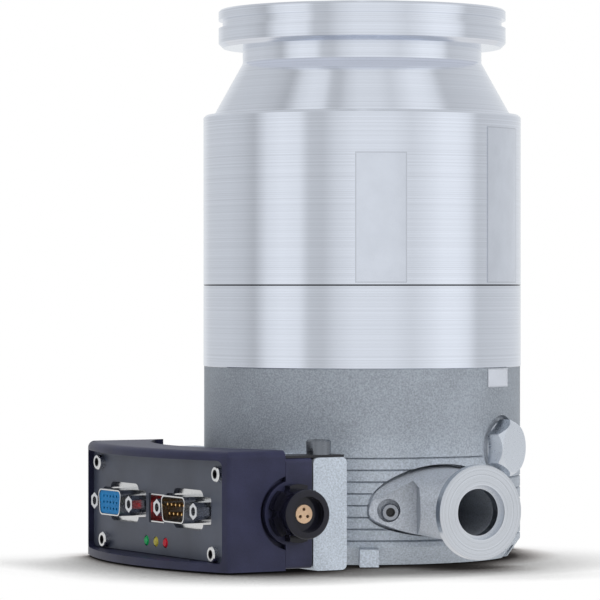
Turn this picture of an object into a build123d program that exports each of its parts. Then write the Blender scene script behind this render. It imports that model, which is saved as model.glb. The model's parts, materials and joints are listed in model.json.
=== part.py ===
from build123d import *
import math
import os

os.makedirs("parts", exist_ok=True)

# A small turbomolecular vacuum pump with its drive electronics on the side.
# Origin: pump axis at the underside. +Z runs up to the inlet, -Y to the
# foreline port, -X to the drive electronics. All lengths are millimetres.

# ---- clearances ----
fit_gap = 0.1          # between fixed neighbours
blade_gap = 0.7        # rotor blades to everything fixed
stage_gap = 1.0        # axial gap between rotor and stator stages
magnet_gap = 0.4       # radial gap in the upper magnet bearing
bore_gap = 0.05        # running fit

# ---- outer housing ----
body_radius = 52.5
base_height = 62.4
ring_height = 26.8
straight_height = 56.0
cone_height = 17.2
neck_height = 5.1
flange_thickness = 12.5
cone_foot_radius = 49.1
neck_radius = 39.5
flange_radius = 47.5
inlet_radius = 35.0
inlet_bore_length = 22.0
chamber_radius = 44.5
rim_groove_depth = 1.3
rim_groove_width = 2.6
rim_groove_below_top = 3.4

ring_base = base_height
ring_top = ring_base + ring_height
ledge_height = ring_top + straight_height
neck_base = ledge_height + cone_height
flange_base = neck_base + neck_height
overall_height = flange_base + flange_thickness

# ---- long tie screws that hold the three housings together ----
tie_circle_radius = 48.2
tie_count = 4
tie_first_angle = 45.0
tie_screw_radius = 1.5
tie_head_radius = 2.7
tie_head_height = 3.0
tie_head_seat = 11.0
tie_grip = 9.0

# ---- housing seals ----
seal_radius = 45.7
seal_section = 0.6
seal_sides = 8

# ---- base casting ----
base_radius = 52.3
base_plate_height = 5.8
base_foot_inset = 4.0
floor_thickness = 12.0
tower_radius = 29.0
tower_top = 78.0
motor_bore_radius = 22.1
motor_bore_floor = 20.0
rib_top = 34.3
rib_pitch = 3.75
rib_count = 8
rib_depth = 0.7
rib_line = 0.8
mount_hole_radius = 2.1
mount_hole_depth = 9.0
mount_hole_pcd = 76.0
mount_hole_count = 4

# ---- electronics side ----
drive_face = -50.4       # flat on the base casting that carries the electronics
side_near = -57.0        # side wall with the power socket
side_far = 42.0
slab_thickness = 12.0
slab_top = 35.3
slab_corner = 1.8
housing_rear_end = -60.3
hood_lip_start = -82.0
hood_lip_sagitta = 10.0
hood_bottom = 0.4
hood_top = 37.8
hood_back_radius = 73.3
hood_back_far = -53.7
hood_wall = 2.4
near_corner_width = 12.0
hood_top_wall = 2.9
hood_bottom_wall = 2.5
panel_face = -79.5
panel_thickness = 1.5
gasket_thickness = 0.5

# ---- foreline port, small flange of 30 mm ----
port_face = 75.0
port_height = 17.7
port_flange_radius = 15.0
port_bore_radius = 7.4
port_recess_radius = 8.6
port_recess_depth = 2.1
port_neck_radius = 10.6
port_seat = 46.2
port_passage_radius = 6.8
ear_half_width = 24.8
ear_rise = 14.6
ear_drop = 7.6
ear_middle_height = 16.9
ear_thickness = 1.2
seam_gap = 0.5
port_screw_offset = 18.5
port_screw_out = 50.2
port_screw_height = 17.0
port_screw_turn = 24.0
port_screw_head_radius = 2.8
port_screw_radius = 1.5
port_screw_length = 7.5

# ---- purge plug ----
plug_angle = -60.0
plug_height = 36.4
plug_seat = 50.6
plug_flats = 16.0
plug_head_height = 5.4
plug_thread_radius = 4.9
plug_washer_radius = 8.4
plug_washer_thickness = 1.0
spot_face_radius = 10.6

# ---- rotor and stator stages, from the inlet down ----
tip_radius = 41.6
hub_radius = 22.0
rotor_stage_heights = [8.0, 6.0, 5.0, 4.0]
stator_stage_heights = [5.0, 4.0, 3.4]
rotor_blade_counts = [18, 20, 22, 24]
stator_blade_counts = [16, 18, 20]
rotor_blade_angles = [42.0, 35.0, 28.0, 22.0]
stator_blade_angles = [38.0, 30.0, 24.0]
blade_thickness = 1.0
first_stage_top = 136.0
spacer_wall = 2.0

# ---- bearing star and upper magnet bearing ----
star_seat = 143.0
star_rim_height = 6.0
star_rim_wall = 3.4
star_arm_width = 3.6
star_hub_radius = 9.0
star_hub_top = 150.0
star_pin_radius = 3.5
magnet_ring_wall = 3.4
magnet_ring_height = 3.8
magnet_ring_count = 4
magnet_stack_top = 133.0
rotor_cup_depth = 26.0

# ---- drag stage ----
drum_radius = 36.6
drum_wall = 1.6
drum_bottom = 64.0
drum_disc_height = 4.0
drag_gap = 0.5
groove_count = 6
groove_depth = 3.0
groove_twist = 45.0

# ---- shaft, motor and lower bearing ----
shaft_radius = 6.0
journal_radius = 4.0
journal_bottom = 8.6
bearing_outer_radius = 11.0
bearing_width = 7.0
bearing_bottom = 9.8
ball_radius = 1.9
ball_count = 7
ball_sides = 12
motor_magnet_radius = 11.0
motor_air_gap = 0.6
motor_core_bottom = 26.0
motor_core_height = 24.0
winding_height = 4.0
holder_wall = 2.4
damper_section = 1.0
cover_radius = 20.0
cover_thickness = 3.2
cover_recess = 0.8
cover_screw_circle = 17.4
cover_screw_count = 4
cover_screw_radius = 1.0
cover_screw_length = 9.0


def finish(builder, name):
    """Label a finished piece and write it to its own file."""
    builder.part.label = name
    export_step(builder.part, "parts/" + name + ".step")


def ring(outer, inner, low, high):
    """A plain ring about the pump axis, kept apart from any open builder."""
    with BuildPart(mode=Mode.PRIVATE) as made:
        with BuildSketch(Plane.XY.offset(low)):
            Circle(outer)
            Circle(inner, mode=Mode.SUBTRACT)
        extrude(amount=high - low)
    return made.part


def cap_screw(seat, head_radius, head_height, shank_radius, shank_length, socket_radius):
    """A socket cap screw whose head stands on the seat plane, shank going back."""
    with BuildPart(mode=Mode.PRIVATE) as made:
        with BuildSketch(seat):
            Circle(head_radius)
        extrude(amount=head_height)
        chamfer(made.edges().filter_by(GeomType.CIRCLE).sort_by(Axis(seat.origin, seat.z_dir))[-1],
                length=0.12 * head_radius)
        with BuildSketch(seat):
            Circle(shank_radius)
        extrude(amount=-shank_length)
        with BuildSketch(seat.offset(head_height)):
            RegularPolygon(radius=socket_radius, side_count=6)
        extrude(amount=-0.6 * head_height, mode=Mode.SUBTRACT)
    return made.part


def bladed_stage(inner, outer, low, height, count, angle, lean):
    """Flat-sided blades of one stage, cut to round at the root and the tip."""
    run = height / math.tan(math.radians(angle)) * lean
    half = 0.5 * blade_thickness / math.sin(math.radians(angle))
    middle = low + 0.5 * height
    radial = Plane(origin=(inner - 1.0, 0, middle), x_dir=(0, 1, 0), z_dir=(1, 0, 0))
    with BuildPart(mode=Mode.PRIVATE) as blade:
        with BuildSketch(radial):
            with BuildLine():
                Polyline((-0.5 * run - half, -0.5 * height), (-0.5 * run + half, -0.5 * height),
                         (0.5 * run + half, 0.5 * height), (0.5 * run - half, 0.5 * height), close=True)
            make_face()
        extrude(amount=outer - inner + 2.0)
        with BuildSketch(Plane.XY.offset(low)):
            Circle(outer)
            Circle(inner, mode=Mode.SUBTRACT)
        extrude(amount=height, mode=Mode.INTERSECT)
    with BuildPart(mode=Mode.PRIVATE) as stage_blades:
        with PolarLocations(0, count):
            add(blade.part)
    return stage_blades.part


# ---- places of the stages along the axis ----
rotor_lows = []
stator_lows = []
level = first_stage_top
for stage, stage_height in enumerate(rotor_stage_heights):
    level -= stage_height
    rotor_lows.append(level)
    level -= stage_gap
    if stage < len(stator_stage_heights):
        level -= stator_stage_heights[stage]
        stator_lows.append(level)
        level -= stage_gap
drum_top = level
drum_disc_base = drum_top - drum_disc_height
drag_stator_top = drum_top
spacer_inner = tip_radius + blade_gap
spacer_outer = chamber_radius - fit_gap
star_rim_base = star_seat - star_rim_height

tie_places = PolarLocations(tie_circle_radius, tie_count, start_angle=tie_first_angle)

# ---- inlet housing: flange, neck, cone and straight body ----
groove_top = overall_height - rim_groove_below_top
groove_bottom = groove_top - rim_groove_width
bore_floor = overall_height - inlet_bore_length
with BuildPart() as inlet_housing:
    with BuildSketch(Plane.XZ):
        with BuildLine():
            Polyline(
                (chamber_radius, ring_top), (body_radius, ring_top), (body_radius, ledge_height),
                (cone_foot_radius, ledge_height), (neck_radius, neck_base), (neck_radius, flange_base),
                (flange_radius, flange_base), (flange_radius, groove_bottom),
                (flange_radius - rim_groove_depth, groove_bottom), (flange_radius - rim_groove_depth, groove_top),
                (flange_radius, groove_top), (flange_radius, overall_height), (inlet_radius, overall_height),
                (inlet_radius, bore_floor), (chamber_radius - 2.0, star_seat), (chamber_radius, star_seat),
                close=True)
        make_face()
    revolve(axis=Axis.Z)
    rims = inlet_housing.edges().filter_by(GeomType.CIRCLE)
    chamfer(rims.filter_by(lambda e: abs(e.radius - flange_radius) < 0.01).sort_by(Axis.Z)[0], length=1.5)
    chamfer(inlet_housing.edges().filter_by(GeomType.CIRCLE).filter_by(
        lambda e: abs(e.radius - flange_radius) < 0.01).sort_by(Axis.Z)[-1], length=0.6)
    chamfer(inlet_housing.edges().filter_by(GeomType.CIRCLE).filter_by(
        lambda e: abs(e.radius - body_radius) < 0.01).sort_by(Axis.Z)[-1], length=0.8)
    with BuildSketch(Plane.XY.offset(ring_top)):
        with tie_places:
            Circle(tie_screw_radius + bore_gap)
    extrude(amount=tie_grip + 1.0, mode=Mode.SUBTRACT)
finish(inlet_housing, "inlet_housing")

# ---- drag stage housing ring ----
seam = 0.25
with BuildPart() as drag_housing_ring:
    with BuildSketch(Plane.XY.offset(ring_base)):
        Circle(body_radius)
        Circle(chamber_radius, mode=Mode.SUBTRACT)
    extrude(amount=ring_height)
    chamfer(drag_housing_ring.edges().filter_by(GeomType.CIRCLE).filter_by(
        lambda e: abs(e.radius - body_radius) < 0.01), length=seam)
    with BuildSketch(Plane.XY.offset(ring_top)):
        Circle(seal_radius + seal_section)
        Circle(seal_radius - seal_section, mode=Mode.SUBTRACT)
    extrude(amount=-1.8 * seal_section, mode=Mode.SUBTRACT)
    with BuildSketch(Plane.XY.offset(ring_base)):
        with tie_places:
            Circle(tie_screw_radius + fit_gap)
    extrude(amount=ring_height, mode=Mode.SUBTRACT)
finish(drag_housing_ring, "drag_housing_ring")

# ---- base casting ----
port_direction = (0, -1, 0)


def ear_outline(grow):
    """Outline of the port's ear: a high half ellipse over a low one."""
    with BuildSketch(mode=Mode.PRIVATE) as outline:
        with BuildLine():
            EllipticalCenterArc((0, 0), ear_half_width + grow, ear_rise + grow, start_angle=0, arc_size=180)
            EllipticalCenterArc((0, 0), ear_half_width + grow, ear_drop + grow, start_angle=180, arc_size=180)
        make_face()
    return outline.sketch


panel_screw_places = [(33.5, 31.0), (-49.8, 30.6), (29.7, 5.8), (-46.9, 5.6)]
plug_out = Vector(math.cos(math.radians(plug_angle)), math.sin(math.radians(plug_angle)), 0)
plug_plane = Plane(origin=plug_out * plug_seat + Vector(0, 0, plug_height), x_dir=(0, 0, 1), z_dir=plug_out)
ear_plane = Plane(origin=(0, -port_seat, ear_middle_height), x_dir=(1, 0, 0), z_dir=port_direction)
port_plane = Plane(origin=(0, -port_face, port_height), x_dir=(1, 0, 0), z_dir=port_direction)
screw_head_height = 2.8
turn = math.radians(port_screw_turn)
ear_floors = []
for side in (-1, 1):
    ear_floors.append(Plane(origin=(side * port_screw_offset, -port_screw_out, port_screw_height),
                            x_dir=(math.cos(turn), side * math.sin(turn), 0),
                            z_dir=(side * math.sin(turn), -math.cos(turn), 0)))
screw_seats = [ear_floor.offset(-screw_head_height) for ear_floor in ear_floors]
clamp_screw_x = -46.0
clamp_screw_y = -52.5
clamp_plate_thickness = 0.8
clamp_plane = Plane.XY.offset(slab_top + clamp_plate_thickness)
bearing_seat_radius = bearing_outer_radius + holder_wall + 2 * damper_section
slab_width = side_far - side_near
slab_middle = 0.5 * (side_far + side_near)
foot_width = 6.0
foot_height = 5.5
foot_radius = 59.0
foot_angles = [-117.7, 2.3, 122.3]
feed_hole_radius = 6.0
feed_flange_radius = 8.5
feed_height = 18.0

with BuildPart() as base_casting:
    with BuildSketch(Plane.XY):
        Circle(base_radius)
    extrude(amount=base_height)
    chamfer(base_casting.edges().sort_by(Axis.Z)[0], length=base_plate_height, length2=base_foot_inset)
    # slab that carries the electronics
    with BuildSketch(Plane.XZ.offset(-side_far)) as slab_section:
        with Locations((drive_face + 0.5 * slab_thickness, 0.5 * slab_top)):
            Rectangle(slab_thickness, slab_top)
        fillet(slab_section.vertices().group_by(Axis.Z)[-1], radius=slab_corner)
    extrude(amount=slab_width)
    # the body is flat where the electronics stand against it
    with BuildSketch(Plane.XY):
        with Locations((drive_face - 5.0, slab_middle)):
            Rectangle(10.0, slab_width)
    extrude(amount=slab_top + 0.3, mode=Mode.SUBTRACT)
    # boss under the foreline port
    with BuildSketch(ear_plane):
        add(ear_outline(0))
    extrude(amount=-12.0)
    with BuildSketch(ear_plane):
        add(ear_outline(seam_gap))
    extrude(amount=10.0, mode=Mode.SUBTRACT)
    # bolting feet
    for angle in foot_angles:
        foot_plane = Plane.XY.rotated((0, 0, angle))
        with BuildSketch(foot_plane):
            with Locations((0.5 * (foot_radius + chamber_radius), 0)):
                Rectangle(foot_radius - chamber_radius, foot_width)
        extrude(amount=foot_height)
    # annular foreline chamber around the motor tower
    with BuildSketch(Plane.XY.offset(floor_thickness)):
        Circle(chamber_radius - 4.0)
        Circle(tower_radius, mode=Mode.SUBTRACT)
    extrude(amount=base_height - floor_thickness, mode=Mode.SUBTRACT)
    # motor tower inside the drag drum
    with BuildSketch(Plane.XY.offset(floor_thickness)):
        Circle(tower_radius)
    extrude(amount=tower_top - floor_thickness)
    with BuildSketch(Plane.XY.offset(motor_bore_floor)):
        Circle(motor_bore_radius)
    extrude(amount=tower_top - motor_bore_floor, mode=Mode.SUBTRACT)
    with BuildSketch(Plane.XY):
        Circle(bearing_seat_radius + fit_gap)
    extrude(amount=motor_bore_floor, mode=Mode.SUBTRACT)
    with BuildSketch(Plane.XY):
        Circle(cover_radius + fit_gap)
    extrude(amount=cover_recess + cover_thickness, mode=Mode.SUBTRACT)
    with BuildSketch(Plane.XY.offset(cover_recess)):
        with PolarLocations(cover_screw_circle, cover_screw_count, start_angle=45):
            Circle(cover_screw_radius + bore_gap)
    extrude(amount=cover_screw_length + 3.0, mode=Mode.SUBTRACT)
    # ribs: fine ledges round the lower casting
    with BuildSketch(Plane.XZ):
        for rib in range(rib_count):
            with Locations((base_radius, rib_top - rib * rib_pitch)):
                Polygon((0.1, 0.0), (-rib_depth, 0.0), (0.1, -rib_line), align=None)
    revolve(axis=Axis.Z, mode=Mode.SUBTRACT)
    # seal groove and tie screw holes
    with BuildSketch(Plane.XY.offset(base_height)):
        Circle(seal_radius + seal_section)
        Circle(seal_radius - seal_section, mode=Mode.SUBTRACT)
    extrude(amount=-1.8 * seal_section, mode=Mode.SUBTRACT)
    with BuildSketch(Plane.XY):
        with tie_places:
            Circle(tie_screw_radius + fit_gap)
    extrude(amount=base_height, mode=Mode.SUBTRACT)
    with BuildSketch(Plane.XY):
        with tie_places:
            Circle(tie_head_radius + 0.3)
    extrude(amount=tie_head_seat, mode=Mode.SUBTRACT)
    # threaded holes in the underside
    with BuildSketch(Plane.XY):
        with PolarLocations(0.5 * mount_hole_pcd, mount_hole_count):
            Circle(mount_hole_radius)
    extrude(amount=mount_hole_depth, mode=Mode.SUBTRACT)
    # foreline passage and port seal groove
    seat_plane = Plane(origin=(0, -port_seat, port_height), x_dir=(1, 0, 0), z_dir=port_direction)
    with BuildSketch(seat_plane):
        Circle(port_passage_radius)
    extrude(amount=-(port_seat - tower_radius - 4.0), mode=Mode.SUBTRACT)
    with BuildSketch(seat_plane):
        Circle(port_bore_radius + 2.8)
        Circle(port_bore_radius + 1.0, mode=Mode.SUBTRACT)
    extrude(amount=-1.7, mode=Mode.SUBTRACT)
    # spot face and thread of the purge plug
    with BuildSketch(plug_plane):
        Circle(spot_face_radius)
    extrude(amount=10.0, mode=Mode.SUBTRACT)
    with BuildSketch(plug_plane):
        Circle(plug_thread_radius + bore_gap)
    extrude(amount=-(plug_seat - chamber_radius + 5.0), mode=Mode.SUBTRACT)
    # clamp screw hole and motor feedthrough
    with BuildSketch(Plane.XY.offset(slab_top)):
        with Locations((clamp_screw_x, clamp_screw_y)):
            Circle(2.1)
    extrude(amount=-11.0, mode=Mode.SUBTRACT)
    with BuildSketch(Plane(origin=(drive_face, 0, feed_height), x_dir=(0, 1, 0), z_dir=(-1, 0, 0))):
        Circle(feed_hole_radius)
    extrude(amount=-(abs(drive_face) - chamber_radius + 5.0), mode=Mode.SUBTRACT)
    for seat in screw_seats:
        with BuildSketch(seat):
            Circle(port_screw_radius + bore_gap)
        extrude(amount=-port_screw_length - 0.5, mode=Mode.SUBTRACT)
finish(base_casting, "base_casting")

# ---- long tie screws and the two housing seals ----
with BuildPart() as tie_screws:
    with BuildSketch(Plane.XY.offset(tie_head_seat - tie_head_height)):
        with tie_places:
            Circle(tie_head_radius)
    extrude(amount=tie_head_height)
    with BuildSketch(Plane.XY.offset(tie_head_seat)):
        with tie_places:
            Circle(tie_screw_radius)
    extrude(amount=ring_top + tie_grip - tie_head_seat)
    with BuildSketch(Plane.XY.offset(tie_head_seat - tie_head_height)):
        with tie_places:
            RegularPolygon(radius=1.4, side_count=6)
    extrude(amount=1.6, mode=Mode.SUBTRACT)
finish(tie_screws, "tie_screws")

with BuildPart() as housing_seals:
    for level in (base_height, ring_top):
        with BuildSketch(Plane.XZ):
            with Locations((seal_radius, level - 0.85 * seal_section)):
                RegularPolygon(radius=0.85 * seal_section, side_count=seal_sides)
        revolve(axis=Axis.Z)
finish(housing_seals, "housing_seals")

# ---- bearing star with its hanging pin ----
pin_bottom = magnet_stack_top - magnet_ring_count * magnet_ring_height - 2.0
star_rim_outer = chamber_radius - fit_gap
star_rim_inner = star_rim_outer - star_rim_wall
with BuildPart() as bearing_star:
    with BuildSketch(Plane.XY.offset(star_rim_base)):
        Circle(star_rim_outer)
        Circle(star_rim_inner, mode=Mode.SUBTRACT)
    extrude(amount=star_rim_height)
    with BuildSketch(Plane.XY.offset(star_rim_base)):
        with PolarLocations(0.5 * star_rim_inner + 1.0, 3, start_angle=90):
            Rectangle(star_rim_inner, star_arm_width)
        Circle(star_hub_radius)
    extrude(amount=star_rim_height)
    with BuildSketch(Plane.XZ):
        with BuildLine():
            Polyline((0, pin_bottom), (star_pin_radius, pin_bottom), (star_pin_radius, magnet_stack_top),
                     (star_hub_radius, star_rim_base), (star_hub_radius, star_hub_top), (0, star_hub_top), close=True)
        make_face()
    revolve(axis=Axis.Z)
    fillet(bearing_star.faces().sort_by(Axis.Z)[-1].edges(), radius=4.0)
finish(bearing_star, "bearing_star")

# ---- magnet rings: the fixed stack on the pin, the turning stack in the rotor ----
fixed_ring_outer = star_pin_radius + bore_gap + magnet_ring_wall
turning_ring_inner = fixed_ring_outer + magnet_gap
turning_ring_outer = turning_ring_inner + magnet_ring_wall
with BuildPart() as fixed_magnet_rings:
    for number in range(magnet_ring_count):
        low = magnet_stack_top - (number + 1) * magnet_ring_height
        add(ring(fixed_ring_outer, star_pin_radius + bore_gap, low, low + magnet_ring_height - 0.1))
finish(fixed_magnet_rings, "fixed_magnet_rings")

with BuildPart() as turning_magnet_rings:
    for number in range(magnet_ring_count):
        low = magnet_stack_top - (number + 1) * magnet_ring_height
        add(ring(turning_ring_outer, turning_ring_inner, low, low + magnet_ring_height - 0.1))
finish(turning_magnet_rings, "turning_magnet_rings")

# ---- spacer rings and stator discs ----
stack_gap = 0.05
with BuildPart() as spacer_rings:
    upper = star_rim_base
    for low, height in zip(stator_lows, stator_stage_heights):
        add(ring(spacer_outer, spacer_inner, low + height + stack_gap, upper - stack_gap))
        upper = low
    add(ring(spacer_outer, spacer_inner, drag_stator_top + stack_gap, upper - stack_gap))
finish(spacer_rings, "spacer_rings")

stator_inner_radius = hub_radius + blade_gap
stator_rim_inner = spacer_inner
with BuildPart() as stator_discs:
    for stage, low in enumerate(stator_lows):
        height = stator_stage_heights[stage]
        add(bladed_stage(stator_inner_radius + 0.6, stator_rim_inner + 0.4, low, height,
                         stator_blade_counts[stage], stator_blade_angles[stage], -1.0))
        add(ring(spacer_outer, stator_rim_inner, low, low + height))
        add(ring(stator_inner_radius + 1.6, stator_inner_radius, low, low + height))
finish(stator_discs, "stator_discs")

# ---- rotor: hub, bladed stages, magnet cup and the drag disc, cut from one billet ----
cup_radius = turning_ring_outer + bore_gap
cup_floor = magnet_stack_top - rotor_cup_depth
hub_top = first_stage_top + 0.3
with BuildPart() as bladed_rotor:
    for stage, low in enumerate(rotor_lows):
        add(bladed_stage(hub_radius - 0.8, tip_radius, low, rotor_stage_heights[stage],
                         rotor_blade_counts[stage], rotor_blade_angles[stage], 1.0))
    with BuildSketch(Plane.XZ):
        with BuildLine():
            Polyline(
                (cup_radius, magnet_stack_top + 0.4), (cup_radius + 2.0, hub_top), (hub_radius, hub_top),
                (hub_radius, drum_top), (drum_radius, drum_top),
                (drum_radius, drum_disc_base + 0.6 * drum_disc_height),
                (drum_radius - drum_wall - fit_gap, drum_disc_base + 0.6 * drum_disc_height),
                (drum_radius - drum_wall - fit_gap, drum_disc_base), (shaft_radius + bore_gap, drum_disc_base),
                (shaft_radius + bore_gap, cup_floor), (cup_radius, cup_floor), close=True)
        make_face()
    revolve(axis=Axis.Z)
finish(bladed_rotor, "bladed_rotor")

# ---- drag drum and the spiral-groove drag stator round it ----
with BuildPart() as drag_drum:
    with BuildSketch(Plane.XY.offset(drum_bottom)):
        Circle(drum_radius)
        Circle(drum_radius - drum_wall, mode=Mode.SUBTRACT)
    extrude(amount=drum_disc_base + 0.6 * drum_disc_height - drum_bottom)
finish(drag_drum, "drag_drum")

drag_stator_inner = drum_radius + drag_gap
drag_stator_height = drag_stator_top - base_height - stack_gap
groove_share = 0.62
groove_width = 2 * math.pi * drag_stator_inner / groove_count * groove_share
with BuildSketch() as groove_section:
    Circle(drag_stator_inner)
    with PolarLocations(drag_stator_inner, groove_count):
        Rectangle(2 * groove_depth, groove_width)
groove_spiral = Solid.extrude_linear_with_rotation(
    groove_section.sketch.faces()[0], center=(0, 0, 0), normal=(0, 0, drag_stator_height + 2.0), angle=groove_twist)
groove_spiral = Pos(0, 0, base_height + stack_gap - 1.0) * groove_spiral
with BuildPart() as drag_stator:
    add(ring(spacer_outer, drag_stator_inner - 0.5, base_height + stack_gap, drag_stator_top))
    add(groove_spiral, mode=Mode.SUBTRACT)
finish(drag_stator, "drag_stator")

# ---- shaft with the motor magnet ----
shaft_top = cup_floor - fit_gap
touchdown_radius = 2.5
with BuildPart() as shaft:
    with BuildSketch(Plane.XZ):
        with BuildLine():
            Polyline((0, journal_bottom), (journal_radius - 0.5, journal_bottom), (journal_radius, journal_bottom + 0.5),
                     (journal_radius, bearing_bottom + bearing_width), (shaft_radius, bearing_bottom + bearing_width),
                     (shaft_radius, shaft_top), (0, shaft_top), close=True)
        make_face()
    revolve(axis=Axis.Z)
finish(shaft, "shaft")

motor_magnet_bottom = motor_core_bottom
with BuildPart() as motor_magnet:
    add(ring(motor_magnet_radius, shaft_radius + bore_gap, motor_magnet_bottom, motor_core_bottom + motor_core_height))
finish(motor_magnet, "motor_magnet")

# ---- motor stator: slotted core and its windings ----
core_inner = motor_magnet_radius + motor_air_gap
core_outer = motor_bore_radius - bore_gap
slot_count = 6
with BuildPart() as motor_core:
    with BuildSketch(Plane.XY.offset(motor_core_bottom)):
        Circle(core_outer)
        Circle(core_inner, mode=Mode.SUBTRACT)
        with PolarLocations(core_inner + 3.6, slot_count):
            SlotOverall(5.0, 4.0, mode=Mode.SUBTRACT)
    extrude(amount=motor_core_height)
finish(motor_core, "motor_core")

with BuildPart() as motor_windings:
    for low in (motor_core_bottom - winding_height, motor_core_bottom + motor_core_height):
        add(ring(core_outer - 1.5, core_inner + 0.6, low, low + winding_height))
    edges = motor_windings.edges().filter_by(GeomType.CIRCLE)
    chamfer(edges.sort_by(Axis.Z)[:2] + edges.sort_by(Axis.Z)[-2:], length=0.9)
    with BuildSketch(Plane.XY.offset(motor_core_bottom)):
        with PolarLocations(core_inner + 3.6, slot_count):
            SlotOverall(4.6, 3.6)
    extrude(amount=motor_core_height)
finish(motor_windings, "motor_windings")

# ---- lower ball bearing, its sprung holder and damper rings ----
race_wall = 2.2
bearing_top = bearing_bottom + bearing_width
bearing_middle = 0.5 * (bearing_bottom + bearing_top)
outer_race_inner = bearing_outer_radius - race_wall
inner_race_outer = journal_radius + race_wall
ball_circle = 0.5 * (outer_race_inner + inner_race_outer)
race_groove = ball_radius + 0.08
with BuildPart() as bearing_outer_race:
    add(ring(bearing_outer_radius, outer_race_inner, bearing_bottom, bearing_top))
    with BuildSketch(Plane.XZ):
        with Locations((ball_circle, bearing_middle)):
            Circle(race_groove)
    revolve(axis=Axis.Z, mode=Mode.SUBTRACT)
finish(bearing_outer_race, "bearing_outer_race")

with BuildPart() as bearing_inner_race:
    add(ring(inner_race_outer, journal_radius + bore_gap, bearing_bottom, bearing_top - 0.1))
    with BuildSketch(Plane.XZ):
        with Locations((ball_circle, bearing_middle)):
            Circle(race_groove)
    revolve(axis=Axis.Z, mode=Mode.SUBTRACT)
finish(bearing_inner_race, "bearing_inner_race")

with BuildPart() as pocket:
    with BuildSketch(Plane(origin=(ball_circle - 2.0, 0, bearing_middle), x_dir=(0, 1, 0), z_dir=(1, 0, 0))):
        Circle(ball_radius + fit_gap)
    extrude(amount=4.0)
with BuildPart() as ball_cage:
    add(ring(ball_circle + 0.7, ball_circle - 0.7, bearing_middle - 2.4, bearing_middle + 2.4))
    with PolarLocations(0, ball_count):
        add(pocket.part, mode=Mode.SUBTRACT)
finish(ball_cage, "ball_cage")

with BuildPart() as ball:
    with BuildSketch(Plane.XZ):
        RegularPolygon(radius=ball_radius, side_count=ball_sides)
        Rectangle(2 * ball_radius, 2 * ball_radius, align=(Align.MAX, Align.CENTER), mode=Mode.SUBTRACT)
    revolve(axis=Axis.Z)
with BuildPart() as bearing_balls:
    with Locations((0, 0, bearing_middle)):
        with PolarLocations(ball_circle, ball_count):
            add(ball.part)
finish(bearing_balls, "bearing_balls")

holder_bottom = cover_recess + cover_thickness + 0.2
with BuildPart() as bearing_holder:
    with BuildSketch(Plane.XZ):
        with BuildLine():
            Polyline(
                (bearing_outer_radius - 2.0, holder_bottom), (bearing_outer_radius + holder_wall, holder_bottom),
                (bearing_outer_radius + holder_wall, bearing_top + 1.0),
                (bearing_outer_radius + bore_gap, bearing_top + 1.0),
                (bearing_outer_radius + bore_gap, bearing_bottom - bore_gap),
                (bearing_outer_radius - 2.0, bearing_bottom - bore_gap), close=True)
        make_face()
    revolve(axis=Axis.Z)
finish(bearing_holder, "bearing_holder")

with BuildPart() as damper_rings:
    for level in (holder_bottom + 3.0, bearing_top - 2.0):
        with BuildSketch(Plane.XZ):
            with Locations((bearing_outer_radius + holder_wall + damper_section, level)):
                RegularPolygon(radius=damper_section, side_count=seal_sides)
        revolve(axis=Axis.Z)
finish(damper_rings, "damper_rings")

# ---- bottom cover with its screws ----
with BuildPart() as bearing_cover:
    with BuildSketch(Plane.XY.offset(cover_recess)):
        Circle(cover_radius)
    extrude(amount=cover_thickness)
    with BuildSketch(Plane.XY.offset(cover_recess)):
        with PolarLocations(cover_screw_circle, cover_screw_count, start_angle=45):
            Circle(cover_screw_radius + fit_gap)
    extrude(amount=cover_thickness, mode=Mode.SUBTRACT)
    with BuildSketch(Plane.XY.offset(cover_recess)):
        with PolarLocations(cover_screw_circle, cover_screw_count, start_angle=45):
            Circle(1.9 + fit_gap)
    extrude(amount=1.6, mode=Mode.SUBTRACT)
finish(bearing_cover, "bearing_cover")

with BuildPart() as cover_screws:
    with PolarLocations(cover_screw_circle, cover_screw_count, start_angle=45):
        add(cap_screw(Plane.XY.offset(cover_recess + 1.6).rotated((180, 0, 0)), 1.9, 1.5,
                      cover_screw_radius, cover_screw_length, 0.8))
finish(cover_screws, "cover_screws")

# ---- foreline port: oval flange that runs into the neck of the small flange ----
bevel_back = 5.6
bevel_rim = 2.9
flare_radius = 12.6
pocket_depth = 22.0
pocket_outline = [(-14.0, -14.0), (-14.0, 2.2), (-3.5, 4.6), (7.0, 10.2), (8.4, 8.0), (8.4, -14.0)]
spot_shift = 0.6
spot_radius = 3.7
with BuildPart() as neck_flare:
    with BuildSketch(Plane(origin=(0, 0, port_height), x_dir=(1, 0, 0), z_dir=(0, 0, 1))):
        with BuildLine():
            Polyline((0, -port_seat - ear_thickness), (flare_radius, -port_seat - ear_thickness),
                     (flare_radius - 1.4, -port_seat - ear_thickness - 4.5),
                     (port_neck_radius, -port_seat - ear_thickness - 9.0),
                     (port_neck_radius, -port_face + bevel_back), (0, -port_face + bevel_back), close=True)
        make_face()
    revolve(axis=Axis((0, 0, port_height), (0, 1, 0)))
    with BuildSketch(ear_plane):
        add(ear_outline(0))
    extrude(amount=30.0, mode=Mode.INTERSECT)
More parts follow.
